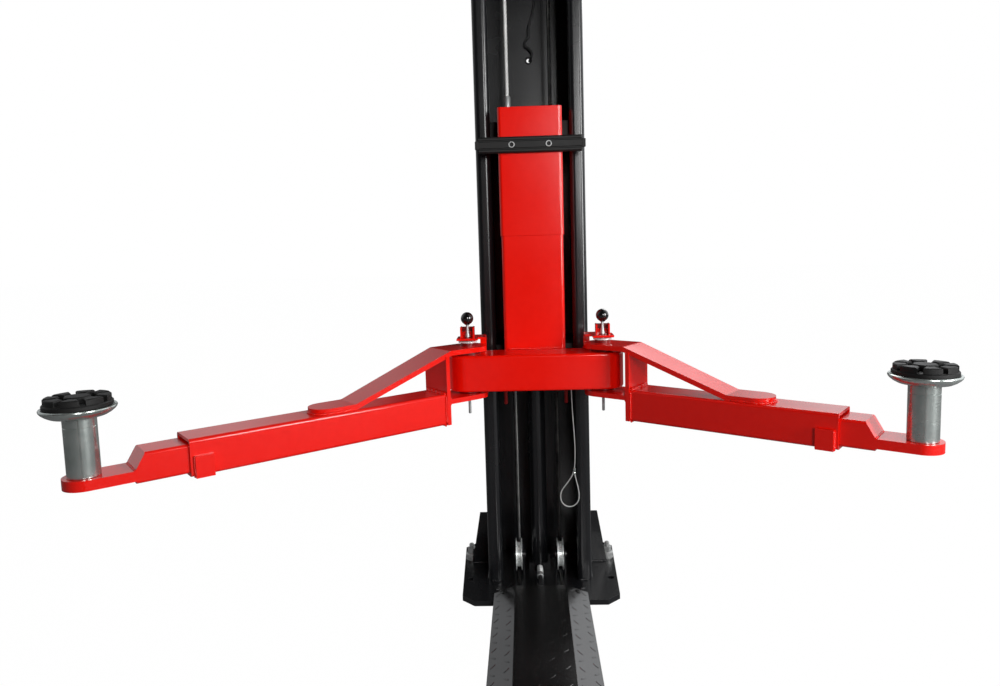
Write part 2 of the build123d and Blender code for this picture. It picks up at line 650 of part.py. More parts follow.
# Outer arm
def strap():
    top = CLEVIS_PLATE
    low = ARM_TOP
    high = STRAP_BOTTOM
    lean = STRAP_LEAN
    side = Polyline(
        (-CLEVIS_R, high), (STRAP_UPPER_BEND, high), (STRAP_LOWER_BEND, low), (STRAP_END, low),
        (STRAP_END, low + top), (STRAP_LOWER_BEND + lean, low + top),
        (STRAP_UPPER_BEND + lean, high + top),
        (-CLEVIS_R, high + top), close=True,
    )
    bent = make_face(side.edges())
    corners = [v for v in bent.vertices() if 0 < v.X < STRAP_END - 1]
    bent = fillet(corners, STRAP_BEND_R)
    bent = extrude(Plane.XZ * bent, 2 * END_PLATE_HALF, both=True)
    head = CLEVIS_R
    end = STRAP_END_R
    plan = make_face(Polyline(
        (0, -head), (STRAP_UPPER_BEND, -head), (STRAP_LOWER_BEND, -end), (STRAP_END - end, -end),
        (STRAP_END - end, end), (STRAP_LOWER_BEND, end), (STRAP_UPPER_BEND, head), (0, head), close=True,
    ).edges())
    plan = plan + Circle(head) + Pos(STRAP_END - end, 0) * Circle(end)
    return bent & (Pos(0, 0, low - 1) * extrude(plan, high + top + 2 - low))


def arm_mouth(size):
    return size["pad"] - size["tip_back"] - size["mouth_back"]


def outer_arm(size):
    mouth = arm_mouth(size)
    half = ARM_WIDTH / 2
    bottom = ARM_TOP - ARM_HEIGHT
    box = slab(ARM_ROOT, mouth, -half, half, bottom, ARM_TOP)
    box = fillet(box.edges().filter_by(Axis.X), ARM_CORNER)
    cavity = half - ARM_WALL
    box -= slab(ARM_ROOT, mouth + 1, -cavity, cavity, bottom + ARM_WALL, ARM_TOP - ARM_WALL)
    plate_half = END_PLATE_HALF
    plate_in = ARM_ROOT - END_PLATE
    body = box + slab(plate_in, ARM_ROOT, -plate_half, plate_half, bottom, STRAP_BOTTOM)
    ear_bottom = EAR_TOP - CLEVIS_PLATE
    ear = slab(0, plate_in, -CLEVIS_R, CLEVIS_R, ear_bottom, EAR_TOP)
    ear += rod_z(0, 0, ear_bottom, EAR_TOP, CLEVIS_R)
    body = body + ear + strap()
    stop_x = mouth - STOP_SETBACK
    stop_z = bottom - STOP_DROP
    body += slab(
        stop_x - STOP_LENGTH, stop_x, -half - STOP_THICK, -half, stop_z, stop_z + STOP_HEIGHT
    )
    return body - rod_z(0, 0, ear_bottom - 1, STRAP_BOTTOM + CLEVIS_PLATE + 1, PIN_R + RUNNING_GAP)


# Inner arm
def inner_arm(size):
    root = arm_mouth(size) - size["lap"]
    tip = size["pad"] - size["tip_back"]
    half = INNER_WIDTH / 2
    bottom = ARM_TOP - ARM_HEIGHT + ARM_WALL + SLIDE_GAP
    top = bottom + INNER_HEIGHT
    box = slab(root, tip, -half, half, bottom, top)
    box = fillet(box.edges().filter_by(Axis.X), INNER_CORNER)
    cavity = half - INNER_WALL
    inside = slab(
        root - 1, tip - TIP_SLOPE_LENGTH - INNER_WALL, -cavity, cavity, bottom + INNER_WALL, top - INNER_WALL
    )
    wedge = Polyline(
        (tip - TIP_SLOPE_LENGTH, top + 1), (tip + 1, top + 1), (tip + 1, top - TIP_SLOPE_HEIGHT),
        (tip, top - TIP_SLOPE_HEIGHT), (tip - TIP_SLOPE_LENGTH, top), close=True,
    )
    wedge = extrude(Plane.XZ * make_face(wedge.edges()), INNER_WIDTH, both=True)
    pad = size["pad"]
    plate_low = PAD_PLATE_TOP - PAD_PLATE_THICK
    plate = slab(tip - PAD_PLATE_ROOT, pad, -half, half, plate_low, PAD_PLATE_TOP)
    plate += rod_z(pad, 0, plate_low, PAD_PLATE_TOP, half)
    body = box - inside - wedge + plate
    return body - rod_z(pad, 0, plate_low - 1, PAD_PLATE_TOP + 1, PAD_HOLE_R)


# Lifting pad
def pad_post():
    seat = PAD_PLATE_TOP + POST_SEAT
    spigot = PAD_HOLE_R - RUNNING_GAP
    spigot_z = PAD_PLATE_TOP - PAD_PLATE_THICK + POST_GROOVE
    cut = POST_GROOVE
    rim = DISH_R - DISH_STEP
    floor = POST_TOP + DISH_STEP + DISH_SHEET
    profile = [
        (0, spigot_z), (spigot, spigot_z),
        (spigot, seat), (POST_R - cut, seat), (POST_R, seat + cut), (POST_R, POST_SEAM_Z - cut),
        (POST_R - cut, POST_SEAM_Z), (POST_R, POST_SEAM_Z + cut), (POST_R, POST_TOP),
        (POST_R + DISH_FLOOR_R, POST_TOP + DISH_STEP), (rim, DISH_RIM_Z - DISH_SHEET - DISH_LIP),
        (DISH_R, DISH_RIM_Z - DISH_SHEET), (DISH_R, DISH_RIM_Z), (rim, DISH_RIM_Z),
        (POST_R + DISH_FLOOR_R - cut, floor), (0, floor),
    ]
    return spun(profile)


def rubber_pad():
    low = POST_TOP + DISH_STEP + DISH_SHEET + POST_SEAT
    edge = RUBBER_EDGE
    profile = [
        (0, low), (POST_R + DISH_FLOOR_R - DISH_STEP, low), (RUBBER_R, DISH_RIM_Z),
        (RUBBER_R, RUBBER_TOP - edge), (RUBBER_R - edge, RUBBER_TOP), (0, RUBBER_TOP),
    ]
    ring = Circle(LUG_OUTER_R) - Circle(LUG_INNER_R)
    for i in range(LUG_GROOVES):
        ring -= Rot(0, 0, 180 * i / LUG_GROOVES) * Rectangle(2 * RUBBER_R, LUG_GROOVE)
    lugs = extrude(Pos(0, 0, RUBBER_TOP) * (ring + Circle(LUG_HUB_R)), LUG_TOP - RUBBER_TOP)
    return spun(profile) + chamfer(lugs.edges().group_by(Axis.Z)[-1], edge)


# Cords
def release_cable():
    cord = tube(cord_path("release_cable", RELEASE_ROUTE), RELEASE_R)
    return cord + rod_z(CRIMP_X, CRIMP_Y, CRIMP_BOTTOM, CRIMP_TOP, CRIMP_R)


def switch_wire():
    return tube(cord_path("switch_wire", WIRE_ROUTE), WIRE_R)


# Placing: post a stands at plus Y, post b is the same post turned half round
def at_post_a(shape):
    return Pos(0, CLEAR_SPAN / 2, 0) * shape


def at_post_b(shape):
    return Rot(0, 0, 180) * Pos(0, CLEAR_SPAN / 2, 0) * shape


def on_arm(shape, size, left):
    placed = Pos(PIVOT_X, PIVOT_Y, 0) * Rot(0, 0, -size["swing"]) * shape
    return mirror(placed, Plane.YZ) if left else placed


def post_pieces():
    pieces = {
        "column": column(),
        "base_plate": base_plate(),
        "anchor_bolts": anchor_bolts(),
        "top_cap": top_cap(),
        "sheave_bracket": sheave_bracket(),
        "sheave_left": bottom_sheave(-1),
        "sheave_right": bottom_sheave(1),
        "cylinder": cylinder(),
        "piston_rod": piston_rod(),
        "crossing_cable": crossing_cable(),
        "rise_cable": rise_cable(),
        "pull_cable": pull_cable(),
        "carriage_frame": carriage_frame(),
        "cable_sockets": cable_sockets(),
        "arm_beam": arm_beam(),
        "pivot_pins": pivot_pins(),
        "guard_strip": guard_strip(),
        "release_cable": release_cable(),
    }
    for word, size, left in (("long", LONG_ARM, True), ("short", SHORT_ARM, False)):
        pad = Pos(size["pad"], 0, 0)
        pieces["outer_arm_" + word] = on_arm(outer_arm(size), size, left)
        pieces["inner_arm_" + word] = on_arm(inner_arm(size), size, left)
        pieces["pad_post_" + word] = on_arm(pad * pad_post(), size, left)
        pieces["rubber_pad_" + word] = on_arm(pad * rubber_pad(), size, left)
        pieces["lock_rod_" + word] = on_arm(lock_rod(), size, left)
    return pieces


for name, shape in post_pieces().items():
    export_step(at_post_a(shape), "parts/" + name + "_a.step")
    export_step(at_post_b(shape), "parts/" + name + "_b.step")
export_step(at_post_a(switch_wire()), "parts/switch_wire.step")
export_step(at_post_a(floor_cover()), "parts/floor_cover.step")
export_step(at_post_a(hydraulic_hose()), "parts/hydraulic_hose.step")
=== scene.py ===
import bpy
import math
from mathutils import Matrix, Vector


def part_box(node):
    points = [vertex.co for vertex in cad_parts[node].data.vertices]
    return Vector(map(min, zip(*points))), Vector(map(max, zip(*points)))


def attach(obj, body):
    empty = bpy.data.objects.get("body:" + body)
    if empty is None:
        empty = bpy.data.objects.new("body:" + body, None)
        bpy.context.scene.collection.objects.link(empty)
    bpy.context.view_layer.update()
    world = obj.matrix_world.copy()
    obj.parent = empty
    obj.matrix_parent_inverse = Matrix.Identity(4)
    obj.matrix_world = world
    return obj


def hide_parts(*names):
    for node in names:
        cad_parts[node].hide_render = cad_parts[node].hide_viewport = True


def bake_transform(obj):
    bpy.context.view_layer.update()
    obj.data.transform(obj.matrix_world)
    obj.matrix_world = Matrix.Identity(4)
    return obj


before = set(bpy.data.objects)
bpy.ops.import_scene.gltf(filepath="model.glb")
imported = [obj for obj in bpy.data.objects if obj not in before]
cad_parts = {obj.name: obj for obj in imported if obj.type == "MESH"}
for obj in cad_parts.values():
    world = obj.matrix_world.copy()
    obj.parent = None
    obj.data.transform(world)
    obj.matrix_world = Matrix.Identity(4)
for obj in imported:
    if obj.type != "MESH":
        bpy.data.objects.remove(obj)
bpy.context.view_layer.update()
bpy.ops.object.select_all(action="DESELECT")

# The camera stands between the posts at chest height and looks at post a, a little downwards. Its
# place and turn were fitted to the photograph. Sizes in this file are metres from the front face of
# post a's column, with x across it, y into it and z up from the floor.
POST_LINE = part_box("column_a")[0].y
CAMERA_AT = Vector((-0.0182, POST_LINE - 1.9699, 0.9434))
CAMERA_RIGHT = Vector((0.9990, 0.0329, -0.0288))
CAMERA_UP = Vector((0.0251, 0.1077, 0.9939))
CAMERA_AHEAD = Vector((-0.0358, 0.9936, -0.1068))
LENS_PIXELS = 757.2
PICTURE_WIDTH = 1000.0
PICTURE_HEIGHT = 686.0
HORIZON_PIXEL = 318.8

bpy.ops.object.camera_add()
camera = bpy.context.object
camera.data.sensor_width = 36.0
camera.data.lens = LENS_PIXELS * camera.data.sensor_width / PICTURE_WIDTH
camera.data.shift_y = (HORIZON_PIXEL - PICTURE_HEIGHT / 2) / PICTURE_WIDTH
turn = Matrix((CAMERA_RIGHT, CAMERA_UP, -CAMERA_AHEAD)).transposed().to_4x4()
camera.matrix_world = Matrix.Translation(CAMERA_AT) @ turn
bpy.context.scene.camera = camera


# The floor under the lift is a plain pale slab, much wider than the lift. The camera sees it white,
# with the soft shadow of the lift on it, and bright metal mirrors it only dimly.
class Value:
    """One number or colour in a finish. Sums on it add Math nodes."""

    def __init__(self, finish, socket):
        self.finish = finish
        self.socket = socket

    def maths(self, operation, *others):
        return self.finish.add("ShaderNodeMath", {"operation": operation}, self, *others)

    def __add__(self, other):
        return self.maths("ADD", other)

    def __mul__(self, other):
        return self.maths("MULTIPLY", other)

    def over(self, low, high):
        """0 below low, 1 above high, and a straight ramp between."""
        return self.finish.add("ShaderNodeMapRange", {"clamp": True}, self, low, high, 0.0, 1.0)

    __radd__ = __add__
    __rmul__ = __mul__


class Finish:
    """A material: a small tree of shader nodes, named after what it stands for."""

    def __init__(self, name, **constants):
        self.material = bpy.data.materials.new(name)
        self.material.use_nodes = True
        self.tree = self.material.node_tree
        self.shader = self.tree.nodes["Principled BSDF"]
        for label, number in constants.items():
            self.shader.inputs[label.replace("_", " ")].default_value = number
        self.place = self.add("ShaderNodeTexCoord", {}, out="Object")

    def feed(self, socket, value):
        if isinstance(value, Value):
            self.tree.links.new(value.socket, socket)
        else:
            socket.default_value = value

    def add(self, kind, settings, *values, out=0, **named):
        node = self.tree.nodes.new(kind)
        for key, setting in settings.items():
            setattr(node, key, setting)
        for number, value in enumerate(values):
            self.feed(node.inputs[number], value)
        for key, value in named.items():
            self.feed(node.inputs[key.replace("_", " ")], value)
        return Value(self, node.outputs[out])

    def noise(self, scale, detail=3.0, rough=0.5, place=None):
        where = self.place if place is None else place
        return self.add(
            "ShaderNodeTexNoise", {}, Vector=where, Scale=scale, Detail=detail, Roughness=rough
        )

    def mixed(self, share, low, high):
        node = self.tree.nodes.new("ShaderNodeMix")
        node.data_type = "RGBA"
        self.feed(node.inputs["Factor"], share)
        self.feed(node.inputs[6], low)
        self.feed(node.inputs[7], high)
        return Value(self, node.outputs[2])

    def stretched(self, x, y, z):
        settings = {"vector_type": "TEXTURE"}
        return self.add("ShaderNodeMapping", settings, Vector=self.place, Scale=(x, y, z))

    def set(self, label, value):
        self.feed(self.shader.inputs[label], value)

    def bump(self, height, depth):
        normal = self.add("ShaderNodeBump", {}, Height=height, Distance=depth, Strength=1.0)
        self.set("Normal", normal)


FLOOR_SIZE = 40.0
FLOOR_DROP = 0.0005
FLOOR_SEEN = 0.965
FLOOR_IN_GLOSS = 0.05
FLOOR_GLOW = 1.03

bpy.ops.mesh.primitive_plane_add(size=FLOOR_SIZE, location=(0, 0, -FLOOR_DROP))
floor = bpy.context.object
floor.name = "studio_floor"
pale = Finish("pale_floor", Base_Color=(0.16, 0.16, 0.165, 1), Roughness=0.9)
rays = pale.add("ShaderNodeLightPath", {}, out="Is Camera Ray")
gloss = Value(pale, rays.socket.node.outputs["Is Glossy Ray"])
clear = Value(pale, rays.socket.node.outputs["Is Transmission Ray"])
shown = rays * FLOOR_SEEN + gloss * FLOOR_IN_GLOSS + clear * FLOOR_SEEN
seen = shown.maths("MINIMUM", FLOOR_SEEN)
glow = pale.add("ShaderNodeEmission", {}, (1, 1, 1, 1), FLOOR_GLOW)
both = pale.add("ShaderNodeMixShader", {}, seen)
pale.tree.links.new(pale.shader.outputs[0], both.socket.node.inputs[1])
pale.tree.links.new(glow.socket, both.socket.node.inputs[2])
pale.tree.links.new(both.socket, pale.tree.nodes["Material Output"].inputs["Surface"])
floor.data.materials.append(pale.material)


# The room has a bright wall at the right and a half bright one at the left. Both grow dim towards
# the end behind the camera and towards the ceiling, so that black paint stays black from the front.
# The camera itself sees plain white past the floor.
RIGHT_WALL = (0.16, 0.36, 0.02, 1.0)
LEFT_WALL = (-0.36, -0.16, 0.50, 0.0)
FAR_END = (-0.55, 0.25, 0.05, 1.25)
CEILING = (0.50, 0.90, 1.0, 0.35)
room = bpy.context.scene.world or bpy.data.worlds.new("white_room")
bpy.context.scene.world = room
room.use_nodes = True
room_nodes = room.node_tree.nodes
room_links = room.node_tree.links


def ramp(source, start, end, low, high):
    """A brightness that runs straight from low, at one bearing, to high, at another."""
    level = room_nodes.new("ShaderNodeMapRange")
    for label, number in (("From Min", start), ("From Max", end), ("To Min", low), ("To Max", high)):
        level.inputs[label].default_value = number
    room_links.new(source, level.inputs["Value"])
    return level.outputs[0]


def combined(operation, first, second):
    """The sum or the product of two levels of brightness."""
    node = room_nodes.new("ShaderNodeMath")
    node.operation = operation
    room_links.new(first, node.inputs[0])
    room_links.new(second, node.inputs[1])
    return node.outputs[0]


toward = room_nodes.new("ShaderNodeTexCoord")
split = room_nodes.new("ShaderNodeSeparateXYZ")
room_links.new(toward.outputs["Generated"], split.inputs[0])
right = ramp(split.outputs["X"], *RIGHT_WALL)
left = ramp(split.outputs["X"], *LEFT_WALL)
aside = combined("ADD", right, left)
ahead = ramp(split.outputs["Y"], *FAR_END)
overhead = ramp(split.outputs["Z"], *CEILING)
strength = combined("MULTIPLY", combined("MULTIPLY", aside, ahead), overhead)
walls = room_nodes["Background"]
walls.inputs["Color"].default_value = (0.96, 0.975, 1.0, 1)
room_links.new(strength, walls.inputs["Strength"])
white = room_nodes.new("ShaderNodeBackground")
white.inputs["Color"].default_value = (1, 1, 1, 1)
path = room_nodes.new("ShaderNodeLightPath")
either = room_nodes.new("ShaderNodeMixShader")
room_links.new(path.outputs["Is Camera Ray"], either.inputs[0])
room_links.new(walls.outputs[0], either.inputs[1])
room_links.new(white.outputs[0], either.inputs[2])
room_links.new(either.outputs[0], room_nodes["World Output"].inputs["Surface"])


# Three softboxes light the lift. The key stands at the right, the second behind the camera, and the
# third behind post a and above it.
def lamp(name, place, aim, size, watts):
    """A rectangular softbox, aimed at a point."""
    bpy.ops.object.light_add(type="AREA", location=place)
    light = bpy.context.object
    light.name = name
    light.data.shape = "RECTANGLE"
    light.data.size, light.data.size_y = size
    light.data.energy = watts
    light.rotation_euler = (Vector(aim) - Vector(place)).to_track_quat("-Z", "Y").to_euler()


lamp("key_softbox", (3.0, -1.0, 1.5), (0, POST_LINE, 0.8), (1.2, 1.8), 116)
lamp("front_softbox", (1.0, -2.6, 1.7), (0, POST_LINE, 0.8), (1.0, 1.2), 62)
lamp("back_softbox", (1.4, 4.4, 3.2), (0, POST_LINE, 1.0), (1.8, 1.6), 34)
bpy.context.scene.view_settings.view_transform = "Standard"


# The columns stand on thick base plates and carry a cap plate each. All is cut or rolled from mild
# steel, welded together and powder coated in a semi-gloss black. Post b is post a turned half round.
HALF_ROUND = Matrix.Rotation(math.pi, 4, "Z")
SHARP = 35.0
BEAD_STEP = 0.75


def paint(name, deep, worn, gloss_low, gloss_high, shine=0.5, coat_most=0.12):
    """Paint, with faint clouds in its colour and its gloss."""
    coat = Finish(name, Coat_Roughness=0.10, IOR=1.5, Specular_IOR_Level=shine)
    cloud = coat.noise(3.0, 4.0)
    fine = coat.noise(60.0, 6.0, 0.6)
    coat.set("Base Color", coat.mixed((cloud * 0.5 + fine * 0.5).over(0.35, 0.72), deep, worn))
    coat.set("Roughness", coat.noise(5.0, 3.0, 0.5).over(0.3, 0.7) * (gloss_high - gloss_low) + gloss_low)
    coat.set("Coat Weight", cloud.over(0.3, 0.7) * coat_most)
    coat.bump(coat.noise(650.0, 2.0), 0.00001)
    return coat


black_paint = paint("black_paint", (0.0060, 0.0063, 0.0072, 1), (0.0090, 0.0094, 0.0108, 1), 0.22, 0.28)


def only(piece):
    """Selects one piece and nothing else."""
    bpy.ops.object.select_all(action="DESELECT")
    piece.select_set(True)
    bpy.context.view_layer.objects.active = piece


def eased(piece, width, segments=2, sharp=SHARP):
    """Breaks the sharp edges of a piece, and shades its curved faces smooth."""
    only(piece)
    bevel = piece.modifiers.new("eased_edge", "BEVEL")
    bevel.width = width
    bevel.segments = segments
    bevel.limit_method = "ANGLE"
    bevel.angle_limit = math.radians(sharp)
    bpy.ops.object.modifier_apply(modifier=bevel.name)
    bpy.ops.object.shade_smooth_by_angle(angle=math.radians(sharp))
    flats = piece.modifiers.new("true_flats", "WEIGHTED_NORMAL")
    flats.keep_sharp = True
    bpy.ops.object.modifier_apply(modifier=flats.name)
    return piece


def copied(node, name):
    """The outline of a part, with its loose facets joined into whole faces."""
    piece = bpy.data.objects.new(name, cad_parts[node].data.copy())
    bpy.context.collection.objects.link(piece)
    only(piece)
    bpy.ops.object.mode_set(mode="EDIT")
    bpy.ops.mesh.select_all(action="SELECT")
    bpy.ops.mesh.remove_doubles(threshold=0.00001)
    bpy.ops.mesh.dissolve_limited(angle_limit=math.radians(0.5))
    bpy.ops.object.mode_set(mode="OBJECT")
    return piece


def coated(piece, finish, body, nodes=()):
    """Gives a piece its finish and its body, and lets it stand for parts of the frame."""
    piece.data.materials.clear()
    piece.data.materials.append(finish.material)
    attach(piece, body)
    if nodes:
        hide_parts(*nodes)


def fitted(piece, name, body, finish, nodes=()):
    """Fits a finished piece on post a, and its copy, turned half round, on post b."""
    for post in "ab":
        part = piece
        if post == "b":
            part = bpy.data.objects.new(name, piece.data.copy())
            bpy.context.collection.objects.link(part)
            part.data.transform(HALF_ROUND)
        part.name = name + "_" + post
        carrier = "frame" if body == "frame" else body + "_" + post
        coated(part, finish, carrier, [node + "_" + post for node in nodes])


def block(name, low, high):
    """A block between two corners, which are given from post a's front face."""
    low, high = Vector(low), Vector(high)
    bpy.ops.mesh.primitive_cube_add(size=1, location=(low + high) / 2 + Vector((0, POST_LINE, 0)))
    piece = bpy.context.object
    piece.name = name
    piece.scale = high - low
    bpy.ops.object.transform_apply(location=True, rotation=True, scale=True)
    return piece


def joined(name, pieces):
    """Joins pieces into one, under a name of its own."""
    bpy.ops.object.select_all(action="DESELECT")
    for piece in pieces:
        piece.select_set(True)
    bpy.context.view_layer.objects.active = pieces[0]
    bpy.ops.object.join()
    pieces[0].name = name
    return pieces[0]


def weld(name, runs, radius):
    """Weld seams along straight runs: drops of metal, each laid half over the last."""
    seams = []
    lumps = bpy.data.textures.new(name, "CLOUDS")
    lumps.noise_scale = radius * 3
    for start, end in runs:
        start, end = Vector(start), Vector(end)
        run = end - start
        bpy.ops.mesh.primitive_ico_sphere_add(subdivisions=2, radius=radius)
        drop = bpy.context.object
        drop.data.transform(Matrix.Translation(start + Vector((0, POST_LINE, 0))))
        row = drop.modifiers.new("drops", "ARRAY")
        row.use_relative_offset = False
        row.use_constant_offset = True
        row.constant_offset_displace = run.normalized() * radius * BEAD_STEP
        row.count = max(2, round(run.length / (radius * BEAD_STEP)))
        bpy.ops.object.modifier_apply(modifier=row.name)
        rough = drop.modifiers.new("lumps", "DISPLACE")
        rough.texture = lumps
        rough.texture_coords = "LOCAL"
        rough.strength = radius * 0.7
        bpy.ops.object.modifier_apply(modifier=rough.name)
        bpy.ops.object.shade_smooth()
        seams.append(drop)
    return joined(name, seams)


def dressed(node, name, body, finish, width, segments=2):
    """A part of the frame on both posts, with its edges eased and its finish on."""
    piece = eased(copied(node + "_a", name), width, segments)
    fitted(piece, name, body, finish, [node])


dressed("column", "column_shell", "frame", black_paint, 0.0008)
dressed("base_plate", "base_slab", "frame", black_paint, 0.0014, 3)
dressed("top_cap", "cap_plate", "frame", black_paint, 0.001)
FOOT_SEAMS = [
    ((-0.1405, 0.016, 0.0155), (-0.1405, 0.196, 0.0155)),
    ((0.1405, 0.016, 0.0155), (0.1405, 0.196, 0.0155)),
    ((-0.128, -0.0005, 0.0155), (-0.108, -0.0005, 0.0155)),
    ((0.108, -0.0005, 0.0155), (0.128, -0.0005, 0.0155)),
    ((-0.126, 0.2105, 0.0155), (0.126, 0.2105, 0.0155)),
]
for side in (-1, 1):
    for face in (0.1195, 0.1305):
        FOOT_SEAMS.append(((side * 0.144, face, 0.0150), (side * 0.188, face, 0.0150)))
        FOOT_SEAMS.append(((side * 0.1405, face, 0.020), (side * 0.1405, face, 0.155)))
fitted(weld("foot_welds", FOOT_SEAMS, 0.0030), "foot_welds", "frame", black_paint)


# Each base plate is held by two expansion anchors with a sleeve, a hexagon nut and the threaded
# end of the stud standing above it. They are turned from bar and zinc plated.
METAL_GRAIN = 0.00002


def metal(name, dull, bright, rough_low, rough_high, streak, full=1.0):
    """Bare or plated steel, with faint blots and a grain in one direction."""
    plate = Finish(name, Metallic=full)
    blot = plate.noise(25.0, 5.0, 0.6)
    line = plate.noise(1.0, 4.0, 0.6, plate.stretched(*streak))
    plate.set("Base Color", plate.mixed(blot.over(0.3, 0.7), dull, bright))
    mottle = (blot * 0.5 + line * 0.5).over(0.35, 0.65)
    plate.set("Roughness", mottle * (rough_high - rough_low) + rough_low)
    plate.bump(line, METAL_GRAIN)
    return plate


dull_zinc = metal(
    "dull_zinc", (0.34, 0.35, 0.35, 1), (0.50, 0.51, 0.50, 1), 0.34, 0.48, (0.01, 0.01, 0.01), full=0.55
)


def turned(name, profile, place, sides=48):
    """A piece from the lathe: an outline of radii and heights, spun about its upright axis."""
    outline = bpy.data.meshes.new(name)
    outline.from_pydata([(r, 0, z) for r, z in profile], [(i, i + 1) for i in range(len(profile) - 1)], [])
    piece = bpy.data.objects.new(name, outline)
    bpy.context.collection.objects.link(piece)
    only(piece)
    bpy.ops.object.mode_set(mode="EDIT")
    bpy.ops.mesh.select_all(action="SELECT")
    bpy.ops.mesh.spin(steps=sides, angle=math.tau, center=(0, 0, 0), axis=(0, 0, 1))
    bpy.ops.mesh.select_all(action="SELECT")
    bpy.ops.mesh.remove_doubles(threshold=0.000005)
    bpy.ops.mesh.normals_make_consistent(inside=False)
    bpy.ops.object.mode_set(mode="OBJECT")
    piece.data.transform(Matrix.Translation((0, POST_LINE, 0)) @ place)
    bpy.ops.object.shade_smooth_by_angle(angle=math.radians(SHARP))
    return piece


def picked(piece, wanted):
    """Opens a piece for editing, with only the wanted faces selected."""
    only(piece)
    bpy.ops.object.mode_set(mode="EDIT")
    bpy.ops.mesh.select_mode(type="FACE")
    bpy.ops.mesh.select_all(action="DESELECT")
    bpy.ops.object.mode_set(mode="OBJECT")
    for face in piece.data.polygons:
        face.select = bool(wanted(face))
    bpy.ops.object.mode_set(mode="EDIT")


def threaded(name, radius, pitch, low, high, place):
    """The thread of a stud: one tooth, wound up the stud by its pitch."""
    tooth = bpy.data.meshes.new(name)
    deep = radius - pitch * 0.6
    tooth.from_pydata(
        [(deep, 0, 0), (radius, 0, pitch * 0.45), (deep, 0, pitch * 0.9)], [(0, 1), (1, 2), (2, 0)], []
    )
    piece = bpy.data.objects.new(name, tooth)
    bpy.context.collection.objects.link(piece)
    only(piece)
    winding = piece.modifiers.new("winding", "SCREW")
    winding.screw_offset = pitch
    winding.iterations = int((high - low) / pitch) - 1
    winding.steps = 20
    winding.render_steps = 20
    bpy.ops.object.modifier_apply(modifier=winding.name)
    bpy.ops.object.mode_set(mode="EDIT")
    bpy.ops.mesh.select_all(action="SELECT")
    bpy.ops.mesh.fill_holes(sides=4)
    bpy.ops.mesh.normals_make_consistent(inside=False)
    bpy.ops.object.mode_set(mode="OBJECT")
    piece.data.transform(Matrix.Translation((0, POST_LINE, 0)) @ place @ Matrix.Translation((0, 0, low)))
    bpy.ops.object.shade_smooth_by_angle(angle=math.radians(30))
    return piece


def hexagon(name, radius, low, high, place, bore=0.0):
    """A hexagon nut or screw head with its two faces turned down at the corners."""
    bpy.ops.mesh.primitive_cylinder_add(vertices=6, radius=radius, depth=high - low)
    piece = bpy.context.object
    piece.name = name
    flat = radius * 0.86
    picked(piece, lambda face: abs(face.normal.z) > 0.9)
    bpy.ops.mesh.inset(thickness=radius - flat, depth=(high - low) * 0.06)
    if bore:
        bpy.ops.mesh.inset(thickness=flat - bore, depth=-(high - low) * 0.3)
    bpy.ops.object.mode_set(mode="OBJECT")
    middle = Matrix.Translation((0, 0, (low + high) / 2))
    piece.data.transform(Matrix.Translation((0, POST_LINE, 0)) @ place @ middle)
    return eased(piece, radius * 0.03)


ANCHOR_X = 0.196
ANCHOR_Y = 0.150
ANCHOR_SLEEVE = [
    (0, 0.0142), (0.0170, 0.0142), (0.0170, 0.0165), (0.0155, 0.0170), (0.0155, 0.0195), (0.0168, 0.0205),
    (0.0168, 0.0305), (0.0140, 0.0338), (0, 0.0338),
]
STUD_CORE = [(0, 0.0338), (0.0066, 0.0338), (0.0066, 0.0585), (0.0050, 0.0600), (0, 0.0600)]
anchors = []
for side in (-1, 1):
    spot = Matrix.Translation((side * ANCHOR_X, ANCHOR_Y, 0))
    anchors.append(turned("anchor_sleeve", ANCHOR_SLEEVE, spot))
    anchors.append(hexagon("anchor_nut", 0.0130, 0.0340, 0.0475, spot @ Matrix.Rotation(0.3, 4, "Z")))
    anchors.append(turned("anchor_stud", STUD_CORE, spot, 24))
    anchors.append(threaded("anchor_thread", 0.0074, 0.0018, 0.0470, 0.0590, spot))
fitted(joined("anchors", anchors), "anchors", "frame", dull_zinc, ["anchor_bolts"])


# Two cast sheaves turn on short shafts in welded cheeks at the foot of each post, and lead the
# balance cables round. Their steel is near white, as a painted highlight.
pale_steel_painted_highlight = metal(
    "pale_steel_painted_highlight", (0.84, 0.87, 0.86, 1), (0.90, 0.93, 0.92, 1), 0.24, 0.34, (0.02, 0.02, 0.02), full=0.5
)
dressed("sheave_bracket", "sheave_cheeks", "frame", black_paint, 0.0006)
for side in ("left", "right"):
    dressed("sheave_" + side, "sheave_rim_" + side, "sheave_" + side, pale_steel_painted_highlight, 0.0008, 3)


# The lifting cylinder stands between the sheaves on its foot plate. Its barrel is painted black, and
# the plunger with the chain wheel is hard chromed steel.
steel = metal("bright_steel", (0.55, 0.55, 0.55, 1), (0.75, 0.75, 0.74, 1), 0.20, 0.32, (0.02, 0.02, 0.001))
dressed("cylinder", "barrel", "frame", black_paint, 0.001, 3)
dressed("piston_rod", "plunger", "piston", steel, 0.0008)


# The balance cables are wire ropes of six strands. One rope of each post runs from the carriage
# over the sheave in the cap, down past the carriage and under the cover to the other post.
ROPE_RADIUS = 0.0051
ROPE_X = 0.057
ROPE_Y = 0.099
STRANDS = 6
LAY_LENGTH = 0.060


